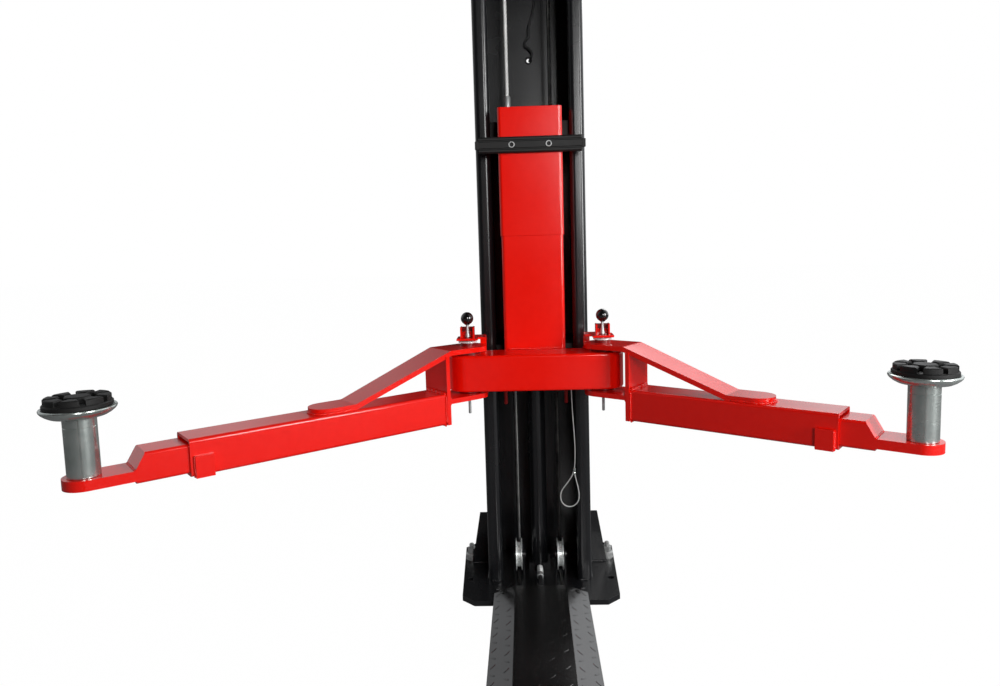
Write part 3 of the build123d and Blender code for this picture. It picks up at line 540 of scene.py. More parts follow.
def rope(name, length, place, step=0.005):
    """A straight rope: the outline of its six strands, wound up its length."""
    around = 30
    ring = []
    for i in range(around):
        angle = math.tau * i / around
        radius = ROPE_RADIUS * (0.90 + 0.10 * math.cos(STRANDS * angle))
        ring.append((radius * math.cos(angle), radius * math.sin(angle), 0))
    outline = bpy.data.meshes.new(name)
    outline.from_pydata(ring, [(i, (i + 1) % around) for i in range(around)], [])
    piece = bpy.data.objects.new(name, outline)
    bpy.context.collection.objects.link(piece)
    only(piece)
    lay = piece.modifiers.new("lay", "SCREW")
    lay.angle = math.tau * length / LAY_LENGTH
    lay.screw_offset = length
    lay.steps = round(length / step)
    lay.render_steps = round(length / step)
    bpy.ops.object.modifier_apply(modifier=lay.name)
    bpy.ops.object.mode_set(mode="EDIT")
    bpy.ops.mesh.select_all(action="SELECT")
    bpy.ops.mesh.fill_holes(sides=around)
    bpy.ops.mesh.normals_make_consistent(inside=False)
    bpy.ops.object.mode_set(mode="OBJECT")
    piece.data.transform(place)
    bpy.ops.object.shade_smooth_by_angle(angle=math.radians(50))
    return piece


FINE_GRIT = (0.004, 0.004, 0.004)
rope_steel = metal(
    "rope_steel", (0.50, 0.50, 0.49, 1), (0.74, 0.74, 0.73, 1), 0.42, 0.55, FINE_GRIT, full=0.35
)
# The crossing rope and the pull rope are the same rope as the rise rope. They get darker copies of its
# steel, as painted shade for their runs inside the column.
rope_shade_steel = metal("rope_steel_in_painted_shade", (0.028, 0.028, 0.027, 1), (0.085, 0.084, 0.080, 1), 0.30, 0.42, FINE_GRIT)
rope_steel_painted_half_shade = metal("rope_steel_painted_half_shade", (0.12, 0.12, 0.12, 1), (0.24, 0.24, 0.235, 1), 0.28, 0.40, FINE_GRIT)


def wound(name, line):
    """A rope laid along a line of points and arcs, which it follows with its strands."""
    route = bpy.data.curves.new(name, "CURVE")
    route.dimensions = "3D"
    spline = route.splines.new("POLY")
    spline.points.add(len(line) - 1)
    for point, (x, y, z) in zip(spline.points, line):
        point.co = (x, POST_LINE + y, z, 1)
    guide = bpy.data.objects.new(name, route)
    bpy.context.collection.objects.link(guide)
    length = sum((Vector(a) - Vector(b)).length for a, b in zip(line, line[1:]))
    piece = rope(name, length, Matrix.Identity(4), step=0.006)
    follow = piece.modifiers.new("follow", "CURVE")
    follow.object = guide
    follow.deform_axis = "POS_Z"
    only(piece)
    bpy.ops.object.modifier_apply(modifier=follow.name)
    bpy.data.objects.remove(guide)
    return piece


def arc(centre, radius, start, end, across, up):
    """Points on part of a circle, from one angle to another, in the plane of two directions."""
    steps = 18
    points = []
    for i in range(steps + 1):
        angle = math.radians(start + (end - start) * i / steps)
        leg = math.cos(angle) * Vector(across) + math.sin(angle) * Vector(up)
        points.append(Vector(centre) + radius * leg)
    return [tuple(point) for point in points]


TOP_SHEAVE = 2.740
UPPER_SOCKET_END = 1.317
LOWER_SOCKET_END = 0.540
FOOT_SHEAVE = 0.064
FOOT_WRAP = 0.039
FAR_POST = -2.800
crossing = arc((0, ROPE_Y, TOP_SHEAVE), ROPE_X, 180, 0, (1, 0, 0), (0, 0, 1))
crossing += arc((ROPE_X, ROPE_Y - FOOT_WRAP, FOOT_SHEAVE), FOOT_WRAP, 0, -90, (0, 1, 0), (0, 0, 1))
crossing += arc(
    (ROPE_X, FAR_POST - ROPE_Y + FOOT_WRAP, FOOT_SHEAVE), FOOT_WRAP, 90, 0, (0, -1, 0), (0, 0, -1)
)
crossing_rope = wound("crossing_rope", crossing)
# The crossing rope is given the darkest copy of the rope's steel, as painted shade.
fitted(crossing_rope, "crossing_rope", "frame", rope_shade_steel, ["crossing_cable"])

# The rise rope keeps the rope's own steel. The pull rope gets a darker copy of it, as painted shade.
for name, low, high, finish, node in (
    ("rise_rope", UPPER_SOCKET_END, TOP_SHEAVE, rope_steel, "rise_cable"),
    ("pull_rope", FOOT_SHEAVE, LOWER_SOCKET_END, rope_steel_painted_half_shade, "pull_cable"),
):
    for post in "ab":
        strand = rope(name + "_" + post, high - low, Matrix.Translation((-ROPE_X, POST_LINE + ROPE_Y, low)))
        if post == "b":
            strand.data.transform(HALF_ROUND)
        strand.data.materials.append(finish.material)
        x, y = (-ROPE_X, POST_LINE + ROPE_Y) if post == "a" else (ROPE_X, -POST_LINE - ROPE_Y)
        near, far = (low, high) if name == "rise_rope" else (high, low)
        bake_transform(strand)
        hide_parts(node + "_" + post)


# Each carriage is a tall box, folded from steel plate in two lengths, that slides in the column.
# It is welded, sprayed a glossy bright red, and open towards the back wall.
CARRIAGE_LOW = 0.567
CARRIAGE_STEP = 0.946
CARRIAGE_TOP = 1.265
CARRIAGE_BACK = 0.150
BOX_HALF = 0.0805
FOOT_HALF = 0.0785
FOLD_RADIUS = 0.009
PLATE = 0.006
SLIDE_HEIGHTS = (1.180, 0.600)
SLIDE_TALL = 0.060


def folded(name, half, front, low, high):
    """A channel folded from plate: a front and two sides with round corners, open at the back."""
    piece = block(name, (-half, -front, low), (half, CARRIAGE_BACK, high))
    picked(piece, lambda face: face.normal.y > 0.9 or abs(face.normal.z) > 0.9)
    bpy.ops.mesh.delete(type="FACE")
    bpy.ops.mesh.select_mode(type="EDGE")
    bpy.ops.mesh.select_all(action="DESELECT")
    bpy.ops.object.mode_set(mode="OBJECT")
    for edge in piece.data.edges:
        a, b = (piece.data.vertices[i].co for i in edge.vertices)
        edge.select = abs(a.z - b.z) > 0.1 and a.y < POST_LINE
    bpy.ops.object.mode_set(mode="EDIT")
    bpy.ops.mesh.bevel(offset=FOLD_RADIUS, segments=6, affect="EDGES")
    bpy.ops.mesh.select_mode(type="FACE")
    bpy.ops.object.mode_set(mode="OBJECT")
    wall = piece.modifiers.new("wall", "SOLIDIFY")
    wall.thickness = PLATE
    wall.offset = -1
    wall.use_even_offset = True
    bpy.ops.object.modifier_apply(modifier=wall.name)
    return eased(piece, 0.0008)


red_paint = paint("red_paint", (0.80, 0.0060, 0.0018, 1), (0.86, 0.0085, 0.0032, 1), 0.12, 0.18, 0.5, 0.05)

box = folded("carriage_box", BOX_HALF, 0.0470, CARRIAGE_STEP, CARRIAGE_TOP)
foot = folded("carriage_foot", FOOT_HALF, 0.0450, CARRIAGE_LOW, CARRIAGE_STEP)
ties = [box, foot]
for low in SLIDE_HEIGHTS:
    ties.append(eased(block("tie", (-0.0755, 0.142, low), (0.0755, CARRIAGE_BACK, low + SLIDE_TALL)), 0.001))
for low in (1.253, 0.573):
    ties.append(eased(block("lug", (-0.0755, 0.081, low), (-0.040, 0.117, low + 0.012)), 0.001))
ties.append(eased(block("release_lug", (0.0755, -0.026, 0.600), (0.097, -0.014, 0.610)), 0.001))
fitted(joined("carriage_box", ties), "carriage_box", "carriage", red_paint, ["carriage_frame"])


# The slide blocks are cut from black plastic. Two sit on each side of the carriage, near its ends,
# and run inside the column.
SLIDE_GAP = 0.0021
moulded = Finish("black_plastic", Specular_IOR_Level=0.3)
haze = moulded.noise(18.0, 4.0, 0.6)
plastic_tone = moulded.mixed(haze.over(0.3, 0.75), (0.0035, 0.0035, 0.0035, 1), (0.0080, 0.0080, 0.0080, 1))
moulded.set("Base Color", plastic_tone)
moulded.set("Roughness", haze.over(0.3, 0.7) * 0.14 + 0.44)
moulded.bump(moulded.noise(260.0, 3.0), 0.00006)
blocks = []
for side in (-1, 1):
    for low in SLIDE_HEIGHTS:
        inner, outer = sorted((side * (FOOT_HALF + SLIDE_GAP), side * 0.128))
        slide = block("slide", (inner, 0.028, low), (outer, CARRIAGE_BACK, low + SLIDE_TALL))
        blocks.append(eased(slide, 0.003, 3))
fitted(joined("slide_blocks", blocks), "slide_blocks", "carriage", moulded)


# Two short pins hang below the foot of the carriage, one near each side. They are turned from steel
# bar, and painted in the carriage's red darkened as painted shade.
red_in_painted_shade = paint("red_in_painted_shade", (0.16, 0.0030, 0.0030, 1), (0.22, 0.0045, 0.0040, 1), 0.30, 0.42, 0.3, 0.03)
PIN_OUTLINE = [
    (0, 0.5025), (0.0035, 0.5025), (0.0049, 0.5045), (0.0049, 0.5600), (0.0062, 0.5610), (0.0062, 0.5668),
    (0, 0.5668),
]
pins = []
for side in (-1, 1):
    pins.append(turned("foot_pin", PIN_OUTLINE, Matrix.Translation((side * 0.080, 0.010, 0)), 24))
fitted(joined("foot_pins", pins), "foot_pins", "carriage", red_in_painted_shade)


# Each balance cable ends in a socket that is swaged on it and bears on a lug of the carriage. The
# sockets are turned from steel and zinc plated, and the lower one is shorter.
UPPER_SOCKET = 52.0
LOWER_SOCKET = 39.0
SOCKET_OUTLINE = [
    (0, 0), (0.0078, 0), (0.0085, 0.0008), (0.0085, 0.0170), (0.0074, 0.0178), (0.0074, 0.0200),
    (0.0084, 0.0208), (0.0084, 0.0490), (0.0065, 0.0520), (0, 0.0520),
]
sockets = [turned("socket", SOCKET_OUTLINE, Matrix.Translation((-ROPE_X, ROPE_Y, CARRIAGE_TOP)), 32)]
under = [(r, z * LOWER_SOCKET / UPPER_SOCKET) for r, z in SOCKET_OUTLINE]
flipped = Matrix.Translation((-ROPE_X, ROPE_Y, 0.579)) @ Matrix.Rotation(math.pi, 4, "X")
sockets.append(turned("socket", under, flipped, 32))
fitted(joined("sockets", sockets), "sockets", "carriage", dull_zinc, ["cable_sockets"])


# A rubber guard strip on the front of the carriage keeps car doors off the post. It is extruded
# with two grooves along its face, and held by two dark screws, each in a zinc ring washer.
rubber = Finish("black_rubber", Specular_IOR_Level=0.35)
bloom = rubber.noise(14.0, 5.0, 0.6)
rubber_tone = rubber.mixed(bloom.over(0.35, 0.75), (0.004, 0.004, 0.004, 1), (0.011, 0.011, 0.0105, 1))
rubber.set("Base Color", rubber_tone)
rubber.set("Roughness", bloom.over(0.3, 0.7) * 0.18 + 0.48)
rubber.bump(rubber.noise(700.0, 3.0), 0.00008)


def pressed(name, outline, run):
    """A length of section: a flat outline, filled and drawn out along a straight run."""
    section = bpy.data.meshes.new(name)
    section.from_pydata([(x, POST_LINE + y, z) for x, y, z in outline], [], [list(range(len(outline)))])
    piece = bpy.data.objects.new(name, section)
    bpy.context.collection.objects.link(piece)
    only(piece)
    bpy.ops.object.mode_set(mode="EDIT")
    bpy.ops.mesh.select_all(action="SELECT")
    bpy.ops.mesh.extrude_region_move(TRANSFORM_OT_translate={"value": run})
    bpy.ops.mesh.select_all(action="SELECT")
    bpy.ops.mesh.normals_make_consistent(inside=False)
    bpy.ops.object.mode_set(mode="OBJECT")
    return piece


STRIP_FRONT = -0.0618
STRIP_BACK = -0.0470
STRIP_MIDDLE = 1.171
STRIP_SECTION = [
    (-0.0470, 1.1512), (-0.0585, 1.1512), (-0.0618, 1.1545), (-0.0618, 1.1590), (-0.0602, 1.1600),
    (-0.0602, 1.1625), (-0.0618, 1.1635), (-0.0618, 1.1785), (-0.0602, 1.1795), (-0.0602, 1.1820),
    (-0.0618, 1.1830), (-0.0618, 1.1875), (-0.0585, 1.1908), (-0.0470, 1.1908),
]
strip = pressed("guard_rubber", [(-0.128, y, z) for y, z in STRIP_SECTION], (0.256, 0, 0))
ends = [eased(strip, 0.0006)]
for x in (-0.137, 0.128):
    ends.append(eased(block("strip_end", (x, STRIP_FRONT, 1.161), (x + 0.009, STRIP_BACK, 1.181)), 0.001))
fitted(joined("guard_rubber", ends), "guard_rubber", "carriage", rubber, ["guard_strip"])
RING = [
    (0.0052, 0.0006), (0.0052, 0.0020), (0.0058, 0.0025), (0.0070, 0.0025), (0.0077, 0.0018),
    (0.0077, 0.0006), (0.0052, 0.0006),
]
FORWARD = Matrix.Rotation(math.radians(90), 4, "X")
rings = []
heads = []
for x in (-0.046, 0.046):
    spot = Matrix.Translation((x, STRIP_FRONT + 0.0016, STRIP_MIDDLE)) @ FORWARD
    rings.append(turned("strip_ring", RING, spot, 32))
    heads.append(hexagon("strip_screw", 0.0051, 0.0002, 0.0022, spot, 0.0026))
fitted(joined("strip_rings", rings), "strip_rings", "carriage", dull_zinc)
fitted(joined("strip_screws", heads), "strip_screws", "carriage", moulded)


# The arm beam is a wide box with round ends, welded across the foot of the carriage. The bracket
# of the arm lock stands on each end.
dressed("arm_beam", "cross_beam", "carriage", red_paint, 0.0010, 3)
# The pivot pins and their washers are in the red darkened as painted shade, for the shade in the gap under
# the straps.
dressed("pivot_pins", "arm_pins", "carriage", red_in_painted_shade, 0.0008)
BEAM_SEAMS = [
    ((-0.066, -0.0455, 0.6585), (0.066, -0.0455, 0.6585)),
    ((-0.0790, -0.0400, 0.580), (-0.0790, -0.0400, 0.650)),
    ((0.0790, -0.0400, 0.580), (0.0790, -0.0400, 0.650)),
    ((-0.1395, -0.0435, 0.6585), (-0.1245, -0.0435, 0.6585)),
    ((0.1245, -0.0435, 0.6585), (0.1395, -0.0435, 0.6585)),
]
fitted(weld("beam_welds", BEAM_SEAMS, 0.0022), "beam_welds", "carriage", red_paint)


# The swing arms. Each outer arm is a welded tube with an end plate, a lower ear and a bent strap
# that takes the pivot pin, and the inner arm slides out of it and carries the pad plate.
PIVOT_X = 0.168
PIVOT_AHEAD = 0.095
PIVOT = Matrix.Translation((PIVOT_X, POST_LINE - PIVOT_AHEAD, 0))
MIRROR = Matrix.Diagonal((-1, 1, 1, 1))
ARMS = {
    "long": dict(
        place=MIRROR @ PIVOT @ Matrix.Rotation(-math.radians(39.2), 4, "Z"),
        mouth=0.690, pad=0.866, tip_back=0.080,
    ),
    "short": dict(
        place=PIVOT @ Matrix.Rotation(-math.radians(36.1), 4, "Z"),
        mouth=0.566, pad=0.709, tip_back=0.077,
    ),
}


def on_arm(piece, word):
    """Moves a piece from the arm's own line, with the pivot at the origin, to its place."""
    piece.data.transform(Matrix.Translation((0, -POST_LINE, 0)))
    piece.data.transform(ARMS[word]["place"])
    if word == "long":
        piece.data.flip_normals()
    return piece


STRAP_END = 0.388
STRAP_ROUND = 0.0385
STRAP_SEAM = 0.5745
ARM_SEAMS = [
    ((0.1000, -0.0450, 0.505), (0.1000, -0.0450, 0.568)),
    ((0.1000, 0.0450, 0.505), (0.1000, 0.0450, 0.568)),
    ((0.1000, -0.0400, 0.4970), (0.1000, 0.0400, 0.4970)),
    ((0.0870, -0.0450, 0.5470), (0.0870, 0.0450, 0.5470)),
    ((0.0870, -0.0450, 0.5610), (0.0870, 0.0450, 0.5610)),
    ((0.0870, -0.0440, 0.6640), (0.0870, 0.0440, 0.6640)),
    ((0.3450, -STRAP_ROUND, STRAP_SEAM), (STRAP_END, -STRAP_ROUND, STRAP_SEAM)),
    ((0.3450, STRAP_ROUND, STRAP_SEAM), (STRAP_END, STRAP_ROUND, STRAP_SEAM)),
]
for i in range(12):
    a, b = (math.radians(-90 + 15 * j) for j in (i, i + 1))
    ARM_SEAMS.append((
        (STRAP_END + STRAP_ROUND * math.cos(a), STRAP_ROUND * math.sin(a), STRAP_SEAM),
        (STRAP_END + STRAP_ROUND * math.cos(b), STRAP_ROUND * math.sin(b), STRAP_SEAM),
    ))
for word in ("long", "short"):
    dressed("outer_arm_" + word, "arm_tube_" + word, "outer_arm_" + word, red_paint, 0.0014, 3)
    dressed("inner_arm_" + word, "slide_arm_" + word, "inner_arm_" + word, red_paint, 0.0012, 3)
    mouth = ARMS[word]["mouth"]
    stop = [
        ((mouth - 0.043, -0.0450, 0.4985), (mouth - 0.043, -0.0450, 0.538)),
        ((mouth - 0.007, -0.0450, 0.4985), (mouth - 0.007, -0.0450, 0.538)),
    ]
    lumps = []
    for i in range(9):
        near = (0.1015 + 0.0016 * (i % 2), -0.0400 + 0.0088 * i, 0.5742)
        far = (0.1022, -0.0335 + 0.0088 * i, 0.5748 + 0.0010 * (i % 3))
        lumps.append(weld("lump", [(near, far)], 0.0040 + 0.0007 * (i % 2)))
    heavy = joined("foot_weld", lumps)
    seams = on_arm(joined("arm_welds", [heavy, weld("seams", ARM_SEAMS + stop, 0.0026)]), word)
    fitted(seams, "arm_welds_" + word, "outer_arm_" + word, red_paint)
    tip = ARMS[word]["pad"] - ARMS[word]["tip_back"]
    across = [((tip + 0.001, -0.034, 0.5305), (tip + 0.001, 0.034, 0.5305))]
    seams = on_arm(weld("tip_welds_" + word, across, 0.0022), word)
    fitted(seams, "tip_welds_" + word, "inner_arm_" + word, red_paint)


# The arm lock is a steel rod through the pivot pin, which widens to a cone between the ears of its
# bracket and has a glossy black ball knob on top. A serrated steel ring lies round the pin, and a
# small plate stands behind the rod, painted in red darkened as painted shade.
knob_resin = Finish("knob_resin", IOR=1.55, Coat_Roughness=0.04)
speck = knob_resin.noise(120.0, 3.0)
knob_resin.set("Base Color", knob_resin.mixed(speck, (0.003, 0.003, 0.003, 1), (0.006, 0.006, 0.006, 1)))
knob_resin.set("Roughness", speck * 0.08 + 0.06)
knob_resin.set("Coat Weight", speck * 0.2 + 0.5)
ROD_OUTLINE = [
    (0, 0.5040), (0.0026, 0.5040), (0.0035, 0.5050), (0.0035, 0.6985), (0.0070, 0.6985), (0.0075, 0.6992),
    (0.0069, 0.7020), (0.0056, 0.7070), (0.0045, 0.7150), (0.0038, 0.7200), (0.0035, 0.7240),
    (0.0035, 0.7320), (0, 0.7320),
]
KNOB_RADIUS = 0.0157
KNOB_MIDDLE = 0.745
KNOB_OUTLINE = [(0, 0.7290), (0.0052, 0.7290), (0.0066, 0.7300)]
for t in range(30, 181, 6):
    lean = math.radians(t)
    KNOB_OUTLINE.append((KNOB_RADIUS * math.sin(lean), KNOB_MIDDLE - KNOB_RADIUS * math.cos(lean)))
KNOB_OUTLINE[-1] = (0, 0.7607)
TEETH = [
    (0.0038, 0.6843), (0.0205, 0.6843), (0.0215, 0.6850), (0.0215, 0.6886), (0.0205, 0.6893),
    (0.0038, 0.6893), (0.0038, 0.6843),
]
TEETH_INSIDE = 0.0213
TOOTH_TURN = 10.0


def on_tooth(face):
    """Whether a face lies on the outside of the ring, where a tooth stands."""
    x, y = face.center.x, face.center.y - POST_LINE
    bearing = math.degrees(math.atan2(y, x))
    return math.hypot(x, y) > TEETH_INSIDE and bearing % TOOTH_TURN < TOOTH_TURN / 2


origin = Matrix.Identity(4)
for word in ("long", "short"):
    pull = on_arm(turned("lock_pull", ROD_OUTLINE, origin, 24), word)
    fitted(pull, "lock_pull_" + word, "lock_rod_" + word, dull_zinc, ["lock_rod_" + word])
    knob = on_arm(turned("knob", KNOB_OUTLINE, origin, 40), word)
    fitted(knob, "knob_" + word, "lock_rod_" + word, knob_resin)
    # The ring is given the same near white steel as the sheaves, as a painted reflection.
    ring = turned("lock_teeth", TEETH, origin, 72)
    picked(ring, on_tooth)
    bpy.ops.mesh.inset(thickness=0.0002, depth=0.0016, use_individual=True)
    bpy.ops.object.mode_set(mode="OBJECT")
    bpy.ops.object.shade_flat()
    fitted(on_arm(ring, word), "lock_teeth_" + word, "outer_arm_" + word, pale_steel_painted_highlight)
# The plates behind the rods are in the red darkened as painted shade.
backs = []
for side in (-1, 1):
    x = side * PIVOT_X
    plate = block("lock_back", (x - 0.0134, -0.0868, 0.7112), (x + 0.0134, -0.0832, 0.7235))
    backs.append(eased(plate, 0.001))
fitted(joined("lock_backs", backs), "lock_backs", "carriage", red_in_painted_shade)


# Each lifting pad is a turned zinc post with a pressed dish on top, which holds a moulded rubber
# disc with raised blocks.
zinc = metal(
    "zinc_plate", (0.42, 0.465, 0.44, 1), (0.59, 0.635, 0.61, 1), 0.18, 0.29, (0.02, 0.02, 0.004), full=0.85
)
SPINDLE = [
    (0, 0.5112), (0.0174, 0.5112), (0.0174, 0.5303), (0.0280, 0.5303), (0.0288, 0.5311), (0.0288, 0.6230),
    (0.0284, 0.6235), (0.0284, 0.6243), (0.0288, 0.6248), (0.0288, 0.6398), (0.0300, 0.6405),
    (0.0400, 0.6415), (0.0490, 0.6436), (0.0560, 0.6475), (0.0615, 0.6520), (0.0640, 0.6550),
    (0.0649, 0.6578), (0.0643, 0.6597), (0.0622, 0.6608), (0.0600, 0.6600), (0.0580, 0.6578),
    (0.0478, 0.6486), (0.0470, 0.6480), (0, 0.6480),
]
for word in ("long", "short"):
    pad = Matrix.Translation((ARMS[word]["pad"], 0, 0))
    spindle = on_arm(turned("pad_spindle", SPINDLE, pad, 72), word)
    fitted(spindle, "pad_spindle_" + word, "pad_" + word, zinc, ["pad_post_" + word])
    dressed("rubber_pad_" + word, "pad_rubber_" + word, "pad_" + word, rubber, 0.0022, 3)


# The floor cover is folded from chequered sheet and painted black. Raised lozenges stand on
# both slopes and, trodden flatter, on its top, and a countersunk screw holds each corner.
tread_paint = paint(
    "tread_paint", (0.0032, 0.0032, 0.0033, 1), (0.0085, 0.0083, 0.0080, 1), 0.20, 0.27, 0.85, 0.2
)
LOZENGE_PITCH = 0.0660
LOZENGE_HALF = 0.0090
LOZENGE_SLIM = 0.24
COVER_START = -0.0900
COVER_RUN = 2.620


def lozenge(place, turn, tall):
    """One raised lozenge of the sheet: a flat oval, drawn up and narrowed to its top."""
    bpy.ops.mesh.primitive_circle_add(vertices=12, radius=LOZENGE_HALF, fill_type="NGON")
    piece = bpy.context.object
    piece.data.transform(Matrix.Diagonal((1, LOZENGE_SLIM, 1, 1)))
    bpy.ops.object.mode_set(mode="EDIT")
    bpy.ops.mesh.select_all(action="SELECT")
    bpy.ops.mesh.extrude_region_move(TRANSFORM_OT_translate={"value": (0, 0, 0.3 * tall)})
    bpy.ops.mesh.inset(thickness=0.0010, depth=0.7 * tall)
    bpy.ops.mesh.select_all(action="SELECT")
    bpy.ops.mesh.normals_make_consistent(inside=False)
    bpy.ops.object.mode_set(mode="OBJECT")
    piece.data.transform(place @ Matrix.Rotation(math.radians(turn), 4, "Z"))
    return piece


def tread(columns, place, tall):
    """A field of lozenges that lie crosswise by turns, along the whole cover."""
    half = LOZENGE_PITCH / 2
    spots = ((0, 0, 45), (half, 0, -45), (half, half, 45), (0, half, -45))
    cell = joined("tread", [lozenge(Matrix.Translation((x, y, 0)), turn, tall) for x, y, turn in spots])
    rows = int(COVER_RUN / LOZENGE_PITCH)
    for count, offset in ((columns, (LOZENGE_PITCH, 0, 0)), (rows, (0, -LOZENGE_PITCH, 0))):
        row = cell.modifiers.new("rows", "ARRAY")
        row.use_relative_offset = False
        row.use_constant_offset = True
        row.constant_offset_displace = offset
        row.count = count
        only(cell)
        bpy.ops.object.modifier_apply(modifier=row.name)
    cell.data.transform(Matrix.Translation((0, POST_LINE + COVER_START, 0)) @ place)
    return cell


cover = eased(copied("floor_cover", "cover_sheet"), 0.0012, 3, 15.0)
coated(cover, tread_paint, "frame", ["floor_cover"])
SLOPE = math.atan2(0.021, 0.056)
treads = [
    tread(2, Matrix.Translation((-0.0495, 0, 0.0350)), 0.00024),
    tread(1, Matrix.Translation((0.0801, 0, 0.0299)) @ Matrix.Rotation(SLOPE, 4, "Y"), 0.0009),
    tread(1, Matrix.Translation((-0.1118, 0, 0.0181)) @ Matrix.Rotation(-SLOPE, 4, "Y"), 0.0009),
]
coated(joined("cover_treads", treads), tread_paint, "frame")
screws = []
SCREW_HEAD = [
    (0, 0), (0.0065, 0), (0.0072, 0.0006), (0.0060, 0.0022), (0.0030, 0.0030), (0.0028, 0.0014), (0, 0.0014),
]
for x in (-0.096, 0.096):
    for y in (-0.086, -2.714):
        lean = Matrix.Rotation(math.copysign(SLOPE, x), 4, "Y")
        screws.append(turned("cover_screw", SCREW_HEAD, Matrix.Translation((x, y, 0.0241)) @ lean, 20))
coated(joined("cover_screws", screws), moulded, "frame")


# A thin rubber covered wire comes out of a hole in post a's back wall and climbs the wall to the top
# cap. Its first stretch stands off the wall in loose bends.
WIRE_RADIUS = 0.0035
WIRE_ROUTE = [
    (0.006, 0.2080, 1.429), (0.0085, 0.196, 1.433), (0.015, 0.1950, 1.446), (0.006, 0.1960, 1.459),
    (-0.008, 0.1985, 1.466), (-0.006, 0.1998, 1.482), (0.006, 0.2002, 1.494), (0.003, 0.2002, 1.513),
    (0.010, 0.2002, 1.534), (0.019, 0.2002, 1.562), (0.0245, 0.2002, 1.600), (0.026, 0.2002, 1.665),
    (0.021, 0.2002, 1.760), (0.015, 0.2002, 1.860), (0.012, 0.2002, 1.962), (0.014, 0.2002, 2.064),
    (0.019, 0.2002, 2.166), (0.022, 0.2002, 2.268), (0.020, 0.2002, 2.370), (0.013, 0.2002, 2.472),
    (0.008, 0.2002, 2.574), (0.005, 0.2002, 2.676), (0.006, 0.2002, 2.755), (0.007, 0.2002, 2.810),
]


def strung(name, route, radius, finish):
    """A cord on a smooth line through its route, whose points are given from post a's front face."""
    line = bpy.data.curves.new(name, "CURVE")
    line.dimensions = "3D"
    spline = line.splines.new("NURBS")
    spline.points.add(len(route) - 1)
    for point, (x, y, z) in zip(spline.points, route):
        point.co = (x, POST_LINE + y, z, 1)
    spline.order_u = 3
    spline.use_endpoint_u = True
    line.resolution_u = 8
    line.bevel_depth = radius
    line.bevel_resolution = 3
    line.use_fill_caps = True
    cord = bpy.data.objects.new(name, line)
    bpy.context.collection.objects.link(cord)
    line.materials.append(finish.material)
    return cord


wire_rubber = Finish("wire_sheath", Roughness=0.5)
sheath = wire_rubber.noise(40.0)
wire_rubber.set("Base Color", wire_rubber.mixed(sheath, (0.006, 0.006, 0.007, 1), (0.014, 0.014, 0.015, 1)))
wire_rubber.bump(wire_rubber.noise(400.0), 0.0001)

wire = strung("switch_lead", WIRE_ROUTE, WIRE_RADIUS, wire_rubber)
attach(wire, "frame")
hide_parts("switch_wire")


# A grommet lines the wire hole in the back wall of each post. It is moulded from black rubber and
# pushed into the hole.
GROMMET = [
    (0.0060, 0), (0.0078, 0), (0.0078, 0.0059), (0.0108, 0.0059), (0.0108, 0.0068), (0.0102, 0.0073),
    (0.0068, 0.0073), (0.0060, 0.0068), (0.0060, 0),
]
lining = turned("wire_grommet", GROMMET, Matrix.Translation((0.0035, 0.2098, 1.430)) @ FORWARD, 32)
fitted(lining, "wire_grommet", "frame", rubber)


# The hydraulic hose crosses under the floor cover, from one cylinder to the other. It ends in a
# ribbed steel ferrule at each cylinder, pressed on over the rubber.
HOSE_RADIUS = 0.006
HOSE_ROUTE = [
    (0, 0.002, 0.024), (0.001, -0.070, 0.0245), (0, -0.140, 0.020), (0.003, -0.230, 0.010),
    (0.009, -0.350, 0.0066), (0.014, -0.510, 0.0065), (0.012, -0.680, 0.0065), (0.003, -0.850, 0.0065),
    (-0.008, -1.020, 0.0065), (-0.015, -1.190, 0.0065), (-0.013, -1.360, 0.0065), (-0.004, -1.530, 0.0065),
    (0.008, -1.700, 0.0065), (0.014, -1.870, 0.0065), (0.013, -2.040, 0.0065), (0.006, -2.210, 0.0065),
    (0.001, -2.370, 0.0065), (-0.003, -2.480, 0.0066), (-0.004, -2.580, 0.010), (0, -2.660, 0.020),
    (-0.001, -2.730, 0.0245), (0, -2.802, 0.024),
]
FERRULE = [(0, 0), (0.0078, 0), (0.0088, 0.0010), (0.0088, 0.0180), (0.0076, 0.0190)]
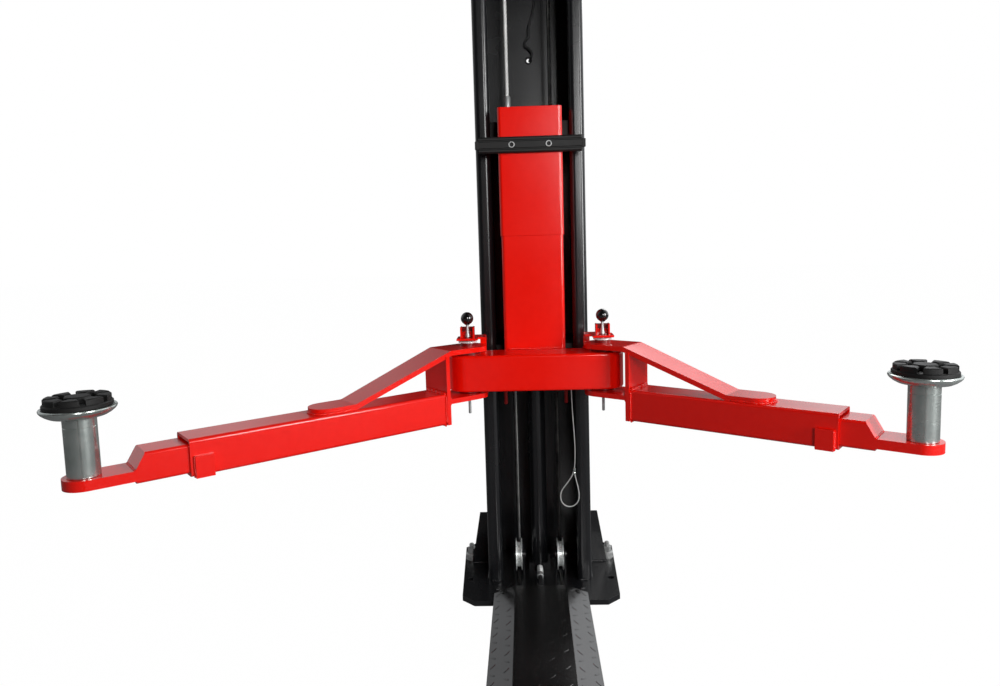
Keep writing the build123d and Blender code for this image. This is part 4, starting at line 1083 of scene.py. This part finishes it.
for rib in range(3):
    foot = 0.0215 + rib * 0.0110
    FERRULE += [(0.0064, foot), (0.0064, foot + 0.0030), (0.0090, foot + 0.0042), (0.0090, foot + 0.0082)]
FERRULE += [(0.0066, 0.0545), (0.0066, 0.0560), (0.0084, 0.0568), (0.0084, 0.0596), (0, 0.0598)]
BACKWARD = Matrix.Rotation(math.radians(-90), 4, "X")
ferrule = turned("hose_ferrule", FERRULE, Matrix.Translation((0, 0.0020, 0.0240)) @ BACKWARD, 32)
fitted(ferrule, "hose_ferrule", "frame", dull_zinc)

hose = strung("pressure_hose", HOSE_ROUTE, HOSE_RADIUS, wire_rubber)
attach(hose, "frame")
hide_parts("hydraulic_hose")


# A thin steel release cable hangs below each carriage. It is turned back into a loop to pull on, and
# a pressed sleeve holds its end.
RELEASE_RADIUS = 0.0013
RELEASE_ROUTE = [
    (0.0910, -0.0200, 0.600), (0.0922, -0.0200, 0.515), (0.0972, -0.0200, 0.435), (0.0994, -0.0200, 0.378),
    (0.0966, -0.0200, 0.320), (0.0740, -0.0200, 0.289), (0.0585, -0.0198, 0.268), (0.0590, -0.0194, 0.243),
    (0.0720, -0.0190, 0.2285), (0.0910, -0.0186, 0.227), (0.1065, -0.0182, 0.2405), (0.1085, -0.0176, 0.263),
    (0.1035, -0.0172, 0.2895), (0.0954, -0.0168, 0.323),
]
CRIMP = [
    (0, 0.3150), (0.0030, 0.3150), (0.0042, 0.3162), (0.0042, 0.3205), (0.0035, 0.3215), (0.0035, 0.3235),
    (0.0042, 0.3245), (0.0042, 0.3318), (0.0030, 0.3330), (0, 0.3330),
]
sleeve = turned("loop_sleeve", CRIMP, Matrix.Translation((0.0962, -0.0184, 0)), 24)
fitted(sleeve, "loop_sleeve", "carriage", zinc)
for post in "ab":
    pull = strung("release_line_" + post, RELEASE_ROUTE, RELEASE_RADIUS, rope_steel)
    if post == "b":
        pull.data.transform(HALF_ROUND)
    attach(pull, "carriage_" + post)
    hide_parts("release_cable_" + post)
